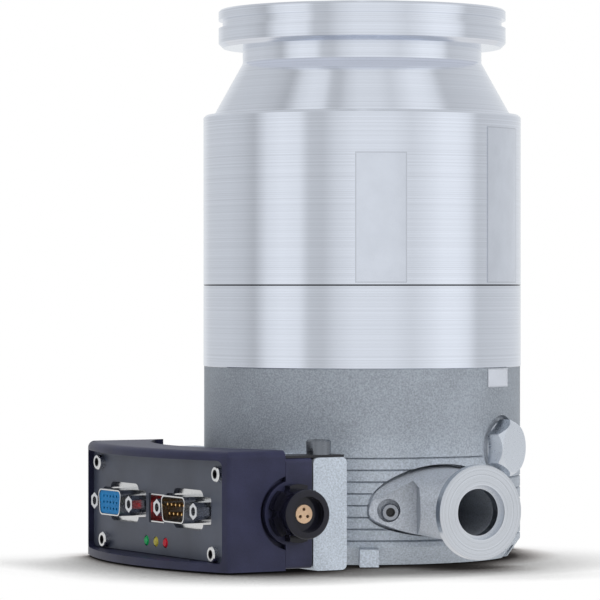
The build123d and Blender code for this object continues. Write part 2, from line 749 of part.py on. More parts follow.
with BuildPart() as foreline_port:
    with BuildSketch(ear_plane):
        add(ear_outline(0))
    extrude(amount=ear_thickness)
    with BuildSketch(ear_plane.offset(ear_thickness)):
        add(ear_outline(0))
    with BuildSketch(port_plane.offset(-bevel_back)):
        with BuildLine():
            CenterArc((0, 0), port_neck_radius, 0, 180)
            CenterArc((0, 0), port_neck_radius, 180, 180)
        make_face()
    loft()
    # pockets that clear the screws, one each side of the neck
    for side, ear_floor in zip((-1, 1), ear_floors):
        with BuildSketch(ear_floor):
            Polygon([(-side * x, y) for x, y in pocket_outline], align=None)
        extrude(amount=pocket_depth, mode=Mode.SUBTRACT)
    add(neck_flare.part)
    with BuildSketch(Plane(origin=(0, 0, port_height), x_dir=(1, 0, 0), z_dir=(0, 0, 1))):
        with BuildLine():
            Polyline((0, -port_face), (port_flange_radius - 0.4, -port_face), (port_flange_radius, -port_face + 0.4),
                     (port_flange_radius, -port_face + bevel_rim), (port_neck_radius + 0.6, -port_face + bevel_back),
                     (port_neck_radius, -port_face + bevel_back + 0.6), (0, -port_face + bevel_back + 0.6), close=True)
        make_face()
    revolve(axis=Axis((0, 0, port_height), (0, 1, 0)))
    with BuildSketch(port_plane):
        Circle(port_bore_radius)
    extrude(amount=-(port_face - port_seat), mode=Mode.SUBTRACT)
    with BuildSketch(port_plane):
        Circle(port_recess_radius)
    extrude(amount=-port_recess_depth, mode=Mode.SUBTRACT)
    for side, seat in zip((-1, 1), screw_seats):
        with BuildSketch(seat):
            with Locations((side * spot_shift, spot_shift)):
                Circle(spot_radius)
        extrude(amount=14.0, mode=Mode.SUBTRACT)
        with BuildSketch(seat):
            Circle(port_screw_radius + fit_gap)
        extrude(amount=-12.0, mode=Mode.SUBTRACT)
finish(foreline_port, "foreline_port")

with BuildPart() as port_screws:
    for seat in screw_seats:
        add(cap_screw(seat, port_screw_head_radius, screw_head_height, port_screw_radius, port_screw_length, 1.45))
finish(port_screws, "port_screws")

with BuildPart() as port_seal:
    with BuildSketch(Plane(origin=(0, -port_seat, port_height), x_dir=(1, 0, 0), z_dir=(0, 0, 1))):
        with Locations((port_bore_radius + 1.9, 0.85)):
            RegularPolygon(radius=0.8, side_count=seal_sides)
    revolve(axis=Axis((0, 0, port_height), (0, 1, 0)))
finish(port_seal, "port_seal")

# ---- purge plug with its washer ----
plug_head_plane = plug_plane.offset(plug_washer_thickness)
plug_circumradius = plug_flats / math.sqrt(3.0)
with BuildPart() as purge_plug:
    with BuildSketch(plug_head_plane):
        RegularPolygon(radius=plug_circumradius, side_count=6)
    extrude(amount=plug_head_height)
    with BuildSketch(Plane(origin=plug_head_plane.origin, x_dir=plug_out, z_dir=(0, 0, 1))):
        with BuildLine():
            Polyline((-0.1, 0), (-0.1, plug_circumradius + 0.2), (plug_head_height - 2.0, plug_circumradius + 0.2),
                     (plug_head_height + 0.1, 0.5 * plug_flats - 0.2), (plug_head_height + 0.1, 0), close=True)
        make_face()
    revolve(axis=Axis(plug_head_plane.origin, plug_out), mode=Mode.INTERSECT)
    with BuildSketch(plug_head_plane):
        Circle(plug_thread_radius)
    extrude(amount=-(plug_washer_thickness + 7.0))
finish(purge_plug, "purge_plug")

with BuildPart() as purge_washer:
    with BuildSketch(plug_plane):
        Circle(plug_washer_radius)
        Circle(plug_thread_radius + fit_gap, mode=Mode.SUBTRACT)
    extrude(amount=plug_washer_thickness)
finish(purge_washer, "purge_washer")

# ---- drive hood: a curved front frame that stands round the connector panel ----
hood_far_inner = side_far - hood_wall
hood_near_inner = side_near + hood_wall
hood_floor_top = hood_bottom + hood_bottom_wall
hood_ceiling = hood_top - hood_top_wall
socket_x = -57.4
socket_z = 18.3
socket_cutout = 11.8
with BuildPart() as drive_hood:
    with BuildSketch(Plane.XY.offset(hood_bottom)):
        with BuildLine():
            Polyline((hood_lip_start + 1.6, side_far), (hood_back_far, side_far), (hood_back_far, side_near))
            Line((hood_back_far, side_near), (hood_lip_start + 1.6, side_near))
            SagittaArc((hood_lip_start + 1.6, side_near), (hood_lip_start + 1.6, side_far), hood_lip_sagitta)
        make_face()
    extrude(amount=hood_top - hood_bottom)
    fillet(drive_hood.edges().filter_by(Axis.Z).group_by(Axis.X)[0], radius=1.5)
    fillet(drive_hood.faces().sort_by(Axis.Z)[-1].edges().filter_by(
        lambda e: e.center().X < hood_back_far - 1.0), radius=2.2)
    # room for the electronics housing behind and for the plugs in front
    with BuildSketch(Plane.YZ.offset(hood_back_far + 1.0)):
        with Locations((slab_middle, 0.5 * (hood_ceiling + hood_floor_top))):
            RectangleRounded(hood_far_inner - hood_near_inner, hood_ceiling - hood_floor_top, 2.0)
    extrude(amount=-60.0, mode=Mode.SUBTRACT)
    # the top is cut back to an arc about the pump, all but the far side strip
    with BuildSketch(Plane.XY.offset(hood_bottom - 1.0)):
        with Locations((0, slab_middle)):
            Circle(hood_back_radius)
        with Locations((0, hood_far_inner + 20.0)):
            Rectangle(200.0, 40.0, mode=Mode.SUBTRACT)
        with Locations((0, hood_near_inner - 20.0)):
            Rectangle(200.0, 40.0, mode=Mode.SUBTRACT)
    extrude(amount=hood_top + 5.0, mode=Mode.SUBTRACT)
    with BuildSketch(Plane.XY.offset(hood_bottom - 1.0)):
        with Locations((housing_rear_end + 10.0, side_near)):
            Rectangle(20.0, 2 * near_corner_width)
    extrude(amount=hood_top + 5.0, mode=Mode.SUBTRACT)
    # side cut-out round the power socket and a small drain notch in the lower lip
    with BuildSketch(Plane.XZ.offset(-side_near)):
        with Locations((socket_x, socket_z)):
            Circle(socket_cutout)
    extrude(amount=6.0, both=True, mode=Mode.SUBTRACT)
    with BuildSketch(Plane.XY.offset(hood_bottom)):
        with Locations((panel_face - 1.0, -35.0)):
            Circle(1.9)
    extrude(amount=hood_bottom_wall, mode=Mode.SUBTRACT)
finish(drive_hood, "drive_hood")

# ---- electronics housing: full width at the back, a sleeve inside the hood in front ----
housing_bottom = 0.9
housing_back = drive_face - gasket_thickness
sleeve_near = hood_near_inner + fit_gap
sleeve_far = hood_far_inner - fit_gap
sleeve_low = hood_floor_top + fit_gap
sleeve_high = hood_ceiling - fit_gap
sleeve_front = panel_face + panel_thickness + fit_gap
housing_wall = 1.5
back_wall = 1.5
rear_far = side_far - 0.2
with BuildPart() as screw_bosses:
    with BuildSketch(Plane.YZ.offset(sleeve_front)):
        with Locations(*panel_screw_places):
            Circle(3.4)
    extrude(amount=8.0)
    with BuildSketch(Plane.YZ.offset(sleeve_front)):
        with Locations((0.5 * (sleeve_far + sleeve_near), 0.5 * (sleeve_high + sleeve_low))):
            RectangleRounded(sleeve_far - sleeve_near, sleeve_high - sleeve_low, 1.9)
    extrude(amount=8.0, mode=Mode.INTERSECT)
with BuildPart() as drive_housing:
    with BuildSketch(Plane.YZ.offset(housing_back)):
        with Locations((0.5 * (rear_far + side_near), 0.5 * (slab_top + housing_bottom))):
            RectangleRounded(rear_far - side_near, slab_top - housing_bottom, 1.5)
    extrude(amount=-(housing_back - hood_back_far - fit_gap))
    with BuildSketch(Plane.YZ.offset(housing_back)):
        with Locations((side_near + 0.5 * near_corner_width - 0.1, 0.5 * (slab_top + housing_bottom))):
            Rectangle(near_corner_width - 0.2, slab_top - housing_bottom)
    extrude(amount=-(housing_back - housing_rear_end - fit_gap))
    fillet(drive_housing.edges().filter_by(Axis.X).filter_by(
        lambda e: e.center().Y < side_near + 0.1), radius=1.4)
    with BuildSketch(Plane.YZ.offset(housing_back - 2.0)):
        with Locations((0.5 * (sleeve_far + sleeve_near), 0.5 * (sleeve_high + sleeve_low))):
            RectangleRounded(sleeve_far - sleeve_near, sleeve_high - sleeve_low, 1.9)
    extrude(amount=-(housing_back - 2.0 - sleeve_front))
    # seat for the power socket
    with BuildSketch(Plane.XZ.offset(-side_near)):
        with Locations((socket_x, socket_z)):
            Circle(socket_cutout - 1.6)
        with Locations((housing_back + 10.0, socket_z)):
            Rectangle(20.0, 40.0, mode=Mode.SUBTRACT)
    extrude(amount=-3.0)
    with BuildSketch(Plane.YZ.offset(housing_back - back_wall)):
        with Locations((0.5 * (sleeve_far + sleeve_near), 0.5 * (sleeve_high + sleeve_low))):
            RectangleRounded(sleeve_far - sleeve_near - 2 * housing_wall, sleeve_high - sleeve_low - 2 * housing_wall, 1.0)
    extrude(amount=-60.0, mode=Mode.SUBTRACT)
    with BuildSketch(Plane.XZ.offset(-side_near)):
        with Locations((socket_x, socket_z)):
            Circle(5.3 + bore_gap)
    extrude(amount=-10.0, mode=Mode.SUBTRACT)
    with BuildSketch(Plane.YZ.offset(housing_back)):
        with Locations((0, feed_height)):
            Circle(feed_flange_radius + 0.3)
    extrude(amount=-back_wall, mode=Mode.SUBTRACT)
    add(screw_bosses.part)
    with BuildSketch(Plane.YZ.offset(sleeve_front)):
        with Locations(*panel_screw_places):
            Circle(1.2 + bore_gap)
    extrude(amount=8.0, mode=Mode.SUBTRACT)
finish(drive_housing, "drive_housing")

with BuildPart() as drive_gasket:
    with BuildSketch(Plane.YZ.offset(drive_face)):
        with Locations((0.5 * (rear_far + side_near), 0.5 * (slab_top + housing_bottom))):
            RectangleRounded(rear_far - side_near - 1.0, slab_top - housing_bottom - 1.0, 1.5)
            RectangleRounded(rear_far - side_near - 8.0, slab_top - housing_bottom - 8.0, 1.5, mode=Mode.SUBTRACT)
    extrude(amount=-gasket_thickness)
finish(drive_gasket, "drive_gasket")

# ---- connector panel ----
data_far_y = 16.6
data_near_y = -28.4
data_height = 18.7
usb_y = -6.3
led_places = [(0.8, 7.1), (-5.9, 7.1), (-12.5, 7.1)]
led_radius = 1.6
panel_screw_head = 2.5
plate_width = 31.0
plate_height = 12.6
jack_pitch = 25.0
panel_gap = 0.2
with BuildPart() as front_panel:
    with BuildSketch(Plane.YZ.offset(panel_face + panel_thickness)):
        with Locations((slab_middle, 0.5 * (hood_ceiling + hood_floor_top))):
            RectangleRounded(hood_far_inner - hood_near_inner - 2 * panel_gap,
                             hood_ceiling - hood_floor_top - 2 * panel_gap, 1.9)
        for centre in (data_far_y, data_near_y):
            with Locations((centre, data_height)):
                RectangleRounded(20.4, plate_height, 2.4, mode=Mode.SUBTRACT)
                RectangleRounded(plate_width, 8.8, 1.2, mode=Mode.SUBTRACT)
        with Locations((usb_y, data_height - 0.9)):
            Rectangle(10.6, 9.3, mode=Mode.SUBTRACT)
        with Locations(*led_places):
            Circle(led_radius + fit_gap, mode=Mode.SUBTRACT)
        with Locations(*panel_screw_places):
            Circle(1.3, mode=Mode.SUBTRACT)
    extrude(amount=-panel_thickness)
finish(front_panel, "front_panel")

panel_plane = Plane(origin=(panel_face, 0, 0), x_dir=(0, -1, 0), z_dir=(-1, 0, 0))
with BuildPart() as panel_screws:
    for y, z in panel_screw_places:
        seat = Plane(origin=(panel_face, y, z), x_dir=(0, -1, 0), z_dir=(-1, 0, 0))
        add(cap_screw(seat, panel_screw_head, 1.9, 1.2, 5.0, 1.3))
finish(panel_screws, "panel_screws")

# ---- data connectors: metal shells with their flange plates, inserts and pins ----
shell_reach = 5.6
plate_face = panel_face + panel_thickness + 0.1
plate_thick = 0.8


def shell_outline(width, height, slant, shrink):
    """The D shape of a data connector, wider at the top, drawn about its centre."""
    half_top = 0.5 * width - shrink
    half_low = 0.5 * width - slant - shrink
    half = 0.5 * height - shrink
    with BuildSketch(mode=Mode.PRIVATE) as made:
        with BuildLine():
            Polyline((-half_top, half), (half_top, half), (half_low, -half), (-half_low, -half), close=True)
        make_face()
        fillet(made.vertices(), radius=1.8 - 0.5 * shrink)
    return made.sketch


def data_shell(centre, name):
    """Flange plate with the drawn metal shell standing out of it."""
    with BuildPart() as made:
        with BuildSketch(Plane.YZ.offset(plate_face + plate_thick)):
            with Locations((centre, data_height)):
                RectangleRounded(plate_width - 0.2, plate_height + 1.6, 1.0)
                with Locations((0.5 * jack_pitch, 0), (-0.5 * jack_pitch, 0)):
                    Circle(1.5, mode=Mode.SUBTRACT)
        extrude(amount=-plate_thick)
        with BuildSketch(Plane(origin=(plate_face, centre, data_height), x_dir=(0, -1, 0), z_dir=(-1, 0, 0))):
            add(shell_outline(16.6, 8.4, 1.2, 0.0))
        extrude(amount=shell_reach + panel_thickness)
        with BuildSketch(Plane(origin=(plate_face + plate_thick, centre, data_height), x_dir=(0, -1, 0), z_dir=(-1, 0, 0))):
            add(shell_outline(16.6, 8.4, 1.2, 0.4))
        extrude(amount=shell_reach + panel_thickness + plate_thick + 1.0, mode=Mode.SUBTRACT)
    finish(made, name)
    return made


def data_insert(centre, reach, name, rows, pitch, row_pitch, hole_radius, hole_depth):
    """Insulating insert inside a shell, with a row pattern of contact holes."""
    with BuildPart() as made:
        with BuildSketch(Plane(origin=(plate_face + plate_thick + 3.0, centre, data_height),
                               x_dir=(0, -1, 0), z_dir=(-1, 0, 0))):
            add(shell_outline(16.6, 8.4, 1.2, 0.5))
        extrude(amount=reach + plate_thick + 3.0)
        with BuildSketch(Plane(origin=(plate_face - reach, centre, data_height), x_dir=(0, -1, 0), z_dir=(-1, 0, 0))):
            for number, count in enumerate(rows):
                with Locations((0, (0.5 * (len(rows) - 1) - number) * row_pitch)):
                    with GridLocations(pitch, 1, count, 1):
                        RegularPolygon(radius=hole_radius, side_count=6)
        extrude(amount=-hole_depth, mode=Mode.SUBTRACT)
    finish(made, name)
    return made


data_shell_far = data_shell(data_far_y, "data_shell_far")
data_shell_near = data_shell(data_near_y, "data_shell_near")
data_insert_far = data_insert(data_far_y, shell_reach + panel_thickness - 0.3, "data_insert_far",
                              [5, 5, 5], 2.3, 2.0, 0.5, 3.0)
data_insert_near = data_insert(data_near_y, 1.2, "data_insert_near", [5, 4], 2.76, 2.84, 0.55, 20.0)

with BuildPart() as data_pins:
    with BuildSketch(Plane(origin=(plate_face + plate_thick + 2.0, data_near_y, data_height),
                           x_dir=(0, -1, 0), z_dir=(-1, 0, 0))):
        for number, count in enumerate([5, 4]):
            with Locations((0, (0.5 - number) * 2.84)):
                with GridLocations(2.76, 1, count, 1):
                    RegularPolygon(radius=0.42, side_count=6)
    extrude(amount=plate_thick + 2.0 + panel_thickness + 4.6)
finish(data_pins, "data_pins")

with BuildPart() as jack_screws:
    for centre in (data_far_y, data_near_y):
        for side in (-1, 1):
            foot = Plane(origin=(plate_face, centre + side * 0.5 * jack_pitch, data_height),
                         x_dir=(0, 0, 1), z_dir=(-1, 0, 0))
            with BuildSketch(foot):
                RegularPolygon(radius=2.7, side_count=6)
            extrude(amount=panel_thickness + 4.9)
            with BuildSketch(foot.offset(panel_thickness + 4.9)):
                Circle(1.35)
            extrude(amount=-4.0, mode=Mode.SUBTRACT)
            with BuildSketch(foot):
                Circle(1.35)
            extrude(amount=-5.0)
finish(jack_screws, "jack_screws")

# ---- service socket and three lamps ----
with BuildPart() as usb_shell:
    with BuildSketch(Plane.YZ.offset(panel_face + panel_thickness + 9.0)):
        with Locations((usb_y, data_height - 0.9)):
            Rectangle(10.4, 9.1)
            Rectangle(9.6, 8.3, mode=Mode.SUBTRACT)
    extrude(amount=-(9.0 + panel_thickness - 0.4))
finish(usb_shell, "usb_shell")

with BuildPart() as usb_insert:
    with BuildSketch(Plane.YZ.offset(panel_face + panel_thickness + 9.0)):
        with Locations((usb_y, data_height - 0.9)):
            Rectangle(9.5, 8.2)
    extrude(amount=-2.0)
    with BuildSketch(Plane.YZ.offset(panel_face + panel_thickness + 7.0)):
        with Locations((usb_y, data_height - 0.9)):
            Rectangle(5.6, 3.2)
    extrude(amount=-6.5)
finish(usb_insert, "usb_insert")

for (y, z), name in zip(led_places, ("led_green", "led_yellow", "led_red")):
    with BuildPart() as lamp:
        with BuildSketch(Plane(origin=(panel_face + panel_thickness + 4.0, y, z), z_dir=(-1, 0, 0))):
            Circle(led_radius)
        extrude(amount=panel_thickness + 4.3)
        chamfer(lamp.edges().filter_by(GeomType.CIRCLE).sort_by(Axis.X)[0], length=0.5)
    finish(lamp, name)

# ---- power socket on the near side ----
socket_plane = Plane(origin=(socket_x, side_near, socket_z), x_dir=(1, 0, 0), z_dir=(0, -1, 0))
nut_radius = 9.15
nut_thickness = 3.4
barrel_radius = 7.75
barrel_reach = 6.0
mouth_radius = 5.6
insert_recess = 3.0
with BuildPart() as power_socket:
    with BuildSketch(socket_plane):
        Circle(5.3)
    extrude(amount=-8.5)
    with BuildSketch(socket_plane):
        Circle(6.6)
    extrude(amount=nut_thickness)
    with BuildSketch(socket_plane.offset(nut_thickness)):
        Circle(barrel_radius)
    extrude(amount=barrel_reach)
    fillet(power_socket.edges().filter_by(GeomType.CIRCLE).sort_by(Axis.Y)[0], radius=0.8)
    with BuildSketch(socket_plane.offset(nut_thickness + barrel_reach)):
        Circle(mouth_radius)
    extrude(amount=-insert_recess, mode=Mode.SUBTRACT)
    with BuildSketch(socket_plane.offset(nut_thickness + barrel_reach)):
        Circle(3.0)
    extrude(amount=-9.0, mode=Mode.SUBTRACT)
finish(power_socket, "power_socket")

with BuildPart() as socket_nut:
    with BuildSketch(socket_plane.offset(fit_gap)):
        Circle(nut_radius)
        Circle(6.6 + bore_gap, mode=Mode.SUBTRACT)
        with PolarLocations(nut_radius, 6):
            Circle(1.5, mode=Mode.SUBTRACT)
    extrude(amount=nut_thickness - 2 * fit_gap)
finish(socket_nut, "socket_nut")

with BuildPart() as socket_insert:
    with BuildSketch(socket_plane.offset(nut_thickness + barrel_reach - insert_recess - 5.0)):
        Circle(2.9)
    extrude(amount=5.2)
    with BuildSketch(socket_plane.offset(nut_thickness + barrel_reach - insert_recess + 0.2)):
        with PolarLocations(1.5, 3, start_angle=90):
            Circle(0.55)
    extrude(amount=-2.5, mode=Mode.SUBTRACT)
finish(socket_insert, "socket_insert")

# ---- clamp plate and screw on top of the slab ----
with BuildPart() as clamp_plate:
    with BuildSketch(Plane.XY.offset(slab_top + 0.02)):
        with Locations((0.5 * (housing_rear_end + drive_face + slab_thickness), side_near + 6.2)):
            RectangleRounded(drive_face + slab_thickness - housing_rear_end - 0.4, 10.8, 0.8)
        with Locations((clamp_screw_x, clamp_screw_y)):
            Circle(2.3, mode=Mode.SUBTRACT)
    extrude(amount=clamp_plate_thickness - 0.04)
finish(clamp_plate, "clamp_plate")

with BuildPart() as clamp_screw:
    with Locations((clamp_screw_x, clamp_screw_y)):
        add(cap_screw(clamp_plane, 3.9, 4.6, 2.0, 11.0, 2.2))
finish(clamp_screw, "clamp_screw")

# ---- inside the electronics housing ----
board_thickness = 1.6
with BuildPart() as circuit_boards:
    for face in (plate_face + 10.6, plate_face + 18.0):
        with BuildSketch(Plane.YZ.offset(face)):
            with Locations((0.5 * (sleeve_far + sleeve_near), 0.5 * (sleeve_high + sleeve_low))):
                Rectangle(sleeve_far - sleeve_near - 2 * housing_wall - 1.0,
                          sleeve_high - sleeve_low - 2 * housing_wall - 1.0)
            with Locations((sleeve_near + 5.0, socket_z)):
                Rectangle(12.0, 14.0, mode=Mode.SUBTRACT)
        extrude(amount=board_thickness)
finish(circuit_boards, "circuit_boards")

with BuildPart() as board_capacitors:
    for y in (-22.0, -8.0, 6.0):
        with BuildSketch(Plane(origin=(plate_face + 18.0 - 0.1, y, 10.5), z_dir=(-1, 0, 0))):
            Circle(4.0)
        extrude(amount=5.2)
finish(board_capacitors, "board_capacitors")

# ---- sealed feedthrough that takes the motor current into the vacuum ----
feed_plane = Plane(origin=(drive_face, 0, feed_height), x_dir=(0, 1, 0), z_dir=(-1, 0, 0))
with BuildPart() as motor_feedthrough:
    with BuildSketch(feed_plane.offset(0.05)):
        Circle(feed_flange_radius)
    extrude(amount=1.8)
    with BuildSketch(feed_plane.offset(0.05)):
        Circle(feed_hole_radius - fit_gap)
    extrude(amount=-5.0)
    with BuildSketch(feed_plane.offset(-6.5)):
        with PolarLocations(3.2, 5):
            Circle(0.5)
    extrude(amount=10.5)
finish(motor_feedthrough, "motor_feedthrough")
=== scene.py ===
# %% [markdown]
# A small turbomolecular vacuum pump, dressed for a studio picture. Its fast rotor pumps gas from the
# wide clamp flange on top to the small flange at the side, and the box beside the base drives it.
# The frame holds the real pieces at their real size. They could be modelled again here, but then
# two models would have to agree, so this lesson adds only finish, small plates and light.
# Everything is in metres, with +Z up and the small flange towards -Y.

# %% Load the frame
import json
import math

import bpy
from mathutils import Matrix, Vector


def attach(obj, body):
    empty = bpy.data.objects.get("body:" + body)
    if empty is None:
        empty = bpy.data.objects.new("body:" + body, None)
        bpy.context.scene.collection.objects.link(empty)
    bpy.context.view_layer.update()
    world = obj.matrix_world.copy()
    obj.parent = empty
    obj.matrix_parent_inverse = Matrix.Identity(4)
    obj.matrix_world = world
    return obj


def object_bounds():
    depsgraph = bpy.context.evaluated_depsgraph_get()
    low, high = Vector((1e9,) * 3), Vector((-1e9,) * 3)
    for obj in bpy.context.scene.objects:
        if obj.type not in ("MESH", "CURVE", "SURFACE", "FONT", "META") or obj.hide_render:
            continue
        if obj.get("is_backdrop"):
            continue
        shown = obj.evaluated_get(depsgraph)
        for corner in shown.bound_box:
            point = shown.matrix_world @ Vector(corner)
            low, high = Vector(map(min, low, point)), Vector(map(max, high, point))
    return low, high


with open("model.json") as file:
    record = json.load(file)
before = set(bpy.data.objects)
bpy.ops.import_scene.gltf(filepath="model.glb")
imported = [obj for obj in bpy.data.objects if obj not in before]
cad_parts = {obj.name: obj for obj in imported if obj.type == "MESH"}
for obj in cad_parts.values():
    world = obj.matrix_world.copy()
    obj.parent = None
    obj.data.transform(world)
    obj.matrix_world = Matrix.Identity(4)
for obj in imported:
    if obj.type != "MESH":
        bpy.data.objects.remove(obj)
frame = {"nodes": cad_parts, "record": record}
cad_low, cad_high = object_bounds()
MM = 0.001
print("frame box", [round(v, 4) for v in cad_low], [round(v, 4) for v in cad_high])


# %% [markdown]
# A finish is a sum of patterns: grain, streaks, masks. Each sum could be wired by hand, one Math
# node at a time, but it reads best as a sum. This class wraps a shader socket, so that writing
# `1 - grain * 0.3` adds the Math nodes that say the same thing.

# %% A number that varies over a surface
class Varying:
    """A shader socket that can be used in Python sums."""

    def __init__(self, writer, socket):
        self.writer = writer
        self.socket = socket

    def __add__(self, other):
        return self.writer.maths("ADD", self, other)

    def __radd__(self, other):
        return self.writer.maths("ADD", other, self)

    def __sub__(self, other):
        return self.writer.maths("SUBTRACT", self, other)

    def __rsub__(self, other):
        return self.writer.maths("SUBTRACT", other, self)

    def __mul__(self, other):
        return self.writer.maths("MULTIPLY", self, other)

    def __rmul__(self, other):
        return self.writer.maths("MULTIPLY", other, self)


# %% [markdown]
# Metal, paint and the light of the room are all node trees, so one writer serves them all. It takes
# a node's kind, its settings and its sockets. Settings come first, because some of them, such as the
# dimensions of a noise, change which sockets the node has.

# %% A writer of nodes
class NodeWriter:
    """Adds nodes to one tree and hands back their outputs."""

    def __init__(self, tree):
        self.tree = tree

    def node(self, kind, settings, sockets, output=0):
        """Adds a node: its settings first, then the values or links of its sockets."""
        made = self.tree.nodes.new(kind)
        for key, value in settings.items():
            if key == "stops":
                self.set_stops(made.color_ramp, value)
            else:
                setattr(made, key, value)
        for key, value in sockets.items():
            if isinstance(value, Varying):
                self.tree.links.new(value.socket, made.inputs[key])
            else:
                made.inputs[key].default_value = value
        return Varying(self, made.outputs[output]) if made.outputs else None

    def set_stops(self, ramp, stops):
        """Gives a colour ramp its stops, each a position and a colour."""
        while len(ramp.elements) < len(stops):
            ramp.elements.new(0.5)
        for element, (position, colour) in zip(ramp.elements, stops):
            element.position = position
            element.color = (*colour, 1.0)

    def parts_of(self, vector):
        """A vector as three numbers."""
        split = self.node("ShaderNodeSeparateXYZ", {}, {0: vector})
        return [Varying(self, part) for part in split.socket.node.outputs]

    def limit(self, value, low, high, to_low=0.0, to_high=1.0):
        """The value brought from one range into another, and held there."""
        return self.node("ShaderNodeMapRange", {"clamp": True},
                         {"Value": value, 1: low, 2: high, 3: to_low, 4: to_high})

    def mask(self, value, start, end):
        """Zero before start, one after end, smooth between."""
        return self.node("ShaderNodeMapRange", {"interpolation_type": "SMOOTHSTEP"},
                         {"Value": value, 1: start, 2: end, 3: 0.0, 4: 1.0})

    def maths(self, operation, *values):
        """A Math node, by the name of its operation."""
        return self.node("ShaderNodeMath", {"operation": operation}, dict(enumerate(values)))

    def length(self, first, second):
        """The straight distance made by two legs."""
        return self.maths("SQRT", first * first + second * second)


# %% [markdown]
# Every finish on the pump starts as one Principled material. Numbers that are the same all over
# are set on its sockets directly. What varies is linked in, and always reads Object coordinates,
# because each piece keeps its place in its mesh and the pattern then stays where it is put.

# %% A finish: one material
def shade(colour, factor):
    """The same colour, darker or lighter, with no channel past 1."""
    return tuple(min(1.0, channel * factor) for channel in colour)


class Finish(NodeWriter):
    """A material with one Principled shader, and the patterns that its recipes share."""

    def __init__(self, name, colour, roughness, metallic=0.0, **constants):
        self.material = bpy.data.materials.new(name)
        self.material.use_nodes = True
        super().__init__(self.material.node_tree)
        self.shader = self.tree.nodes["Principled BSDF"]
        self.put("Base Color", (*colour, 1.0))
        self.put("Roughness", roughness)
        self.put("Metallic", metallic)
        for socket_name, value in constants.items():
            self.put(socket_name.replace("_", " "), value)
        self.material.diffuse_color = (*colour, 1.0)
        self.place = self.node("ShaderNodeTexCoord", {}, {}, "Object")

    def put(self, socket_name, value):
        """Sets a constant on the shader, or links a varying value to it."""
        socket = self.shader.inputs[socket_name]
        if isinstance(value, Varying):
            self.tree.links.new(value.socket, socket)
        else:
            socket.default_value = value

    def noise(self, scale, detail=2.0, roughness=0.5, place=None):
        """Cloudy noise; scale is in cycles for each metre."""
        return self.node("ShaderNodeTexNoise", {}, {"Vector": place or self.place, "Scale": scale,
                                                    "Detail": detail, "Roughness": roughness})

    def tool_marks(self, along, detail=2.0, roughness=0.5):
        """Noise along one number, which a turning tool leaves as rings."""
        return self.node("ShaderNodeTexNoise", {"noise_dimensions": "1D"},
                         {"W": along, "Scale": 1.0, "Detail": detail, "Roughness": roughness})

    def stretched(self, x, y, z):
        """Object coordinates with each axis drawn out or squeezed."""
        return self.node("ShaderNodeMapping", {}, {"Vector": self.place, "Scale": (x, y, z)})

    def mix(self, factor, first, second):
        """A colour between two others, each a colour or a varying colour."""
        ends = [end if isinstance(end, Varying) else (*end, 1.0) for end in (first, second)]
        return self.node("ShaderNodeMix", {"data_type": "RGBA"}, {0: factor, 6: ends[0], 7: ends[1]}, 2)

    def bump(self, height, depth, strength=1.0):
        """Gives the surface relief; depth is in metres."""
        self.put("Normal", self.node("ShaderNodeBump", {}, {"Height": height, "Distance": depth,
                                                            "Strength": strength}))


finishes = {}


# %% [markdown]
# The housing is turned on a lathe, so its fine marks run round it. They could be cut in the mesh,
# but a mark is far thinner than a hair. One-dimensional noise on the height gives the same rings,
# with a slow drift, because no cut is quite even. The upper body has a fine feed and the lower ring
# a broader one, and the joint where they meet is painted dark: painted shade in the narrow gap, with dirt in
# the joint.

# %% Turned aluminium
SEAM_HEIGHT = max(corner[2] for corner in frame["nodes"]["drag_housing_ring"].bound_box)
SEAM_REACH = 0.18 * MM
SEAM_EDGE = 0.34 * MM


def turned_metal(name, colour, fine, broad, roughness):
    """Lathe-turned aluminium; fine and broad are tool marks for each metre of height."""
    finish = Finish(name, colour, roughness, 1.0, Anisotropic=0.35)
    height = finish.parts_of(finish.place)[2]
    drift = finish.noise(9.0, 1.0)
    lines = finish.tool_marks(height * fine, 2.0, 0.7)
    bands = finish.tool_marks(height * broad + drift * 1.2, 1.0)
    marks = lines * 0.8 + bands * 0.2
    metal = finish.mix(finish.limit(marks, 0.3, 0.7), shade(colour, 0.90), shade(colour, 1.05))
    # painted shade and dirt: a dark line is painted where the upper body meets the ring
    from_seam = finish.maths("ABSOLUTE", height - SEAM_HEIGHT)
    seam = finish.mask(from_seam, SEAM_EDGE, SEAM_REACH)
    finish.put("Base Color", finish.mix(seam, metal, shade(colour, 0.22)))
    finish.put("Roughness", finish.limit(lines, 0.3, 0.7, roughness - 0.02, roughness + 0.04))
    finish.bump(marks, 0.04 * MM, 0.5)
    return finish.material


TURNED = (0.78, 0.81, 0.88)
finishes["turned_upper"] = turned_metal("turned_upper", TURNED, 2000.0, 420.0, 0.08)
finishes["turned_ring"] = turned_metal("turned_ring", TURNED, 1500.0, 260.0, 0.10)
print("turned finishes, with the seam at", round(SEAM_HEIGHT, 5))


# %% [markdown]
# The base is a blasted casting. Its skin is a dense grain of tiny pits, lighter on the peaks, with
# soft clouds where the blasting was uneven. Its slab, feet and ribbed front are painted paler: painted
# light, for the brighter light that falls on them. They could be pieces with a material each, but the
# casting is one piece, so masks on place tell one material where to change.

# %% Blasted casting
SLAB_FACE = -38.3 * MM
SLAB_TOP = 35.7 * MM
WALL_RADIUS = 52.7 * MM
RIBS_TOP, RIBS_FULL = 46.0 * MM, 30.0 * MM
RIBS_START, RIBS_END = -20.0 * MM, -34.0 * MM
RIBS_SHARE = 0.7
PAINTED_LIGHT_TONE = 1.5
BLEND = 0.1 * MM
GRAIN_DEPTH = 0.16 * MM


def blasted_grain(finish, grain):
    """Returns how light the blasted skin is, and the height of its grain."""
    speckle = finish.noise(grain, 3.0, 0.7)
    clouds = finish.noise(60.0, 3.0)
    return finish.limit(speckle * 0.8 + clouds * 0.2, 0.38, 0.62), speckle


def blasted_colour(finish, tone, colour):
    return finish.mix(tone, shade(colour, 0.74), shade(colour, 1.20))


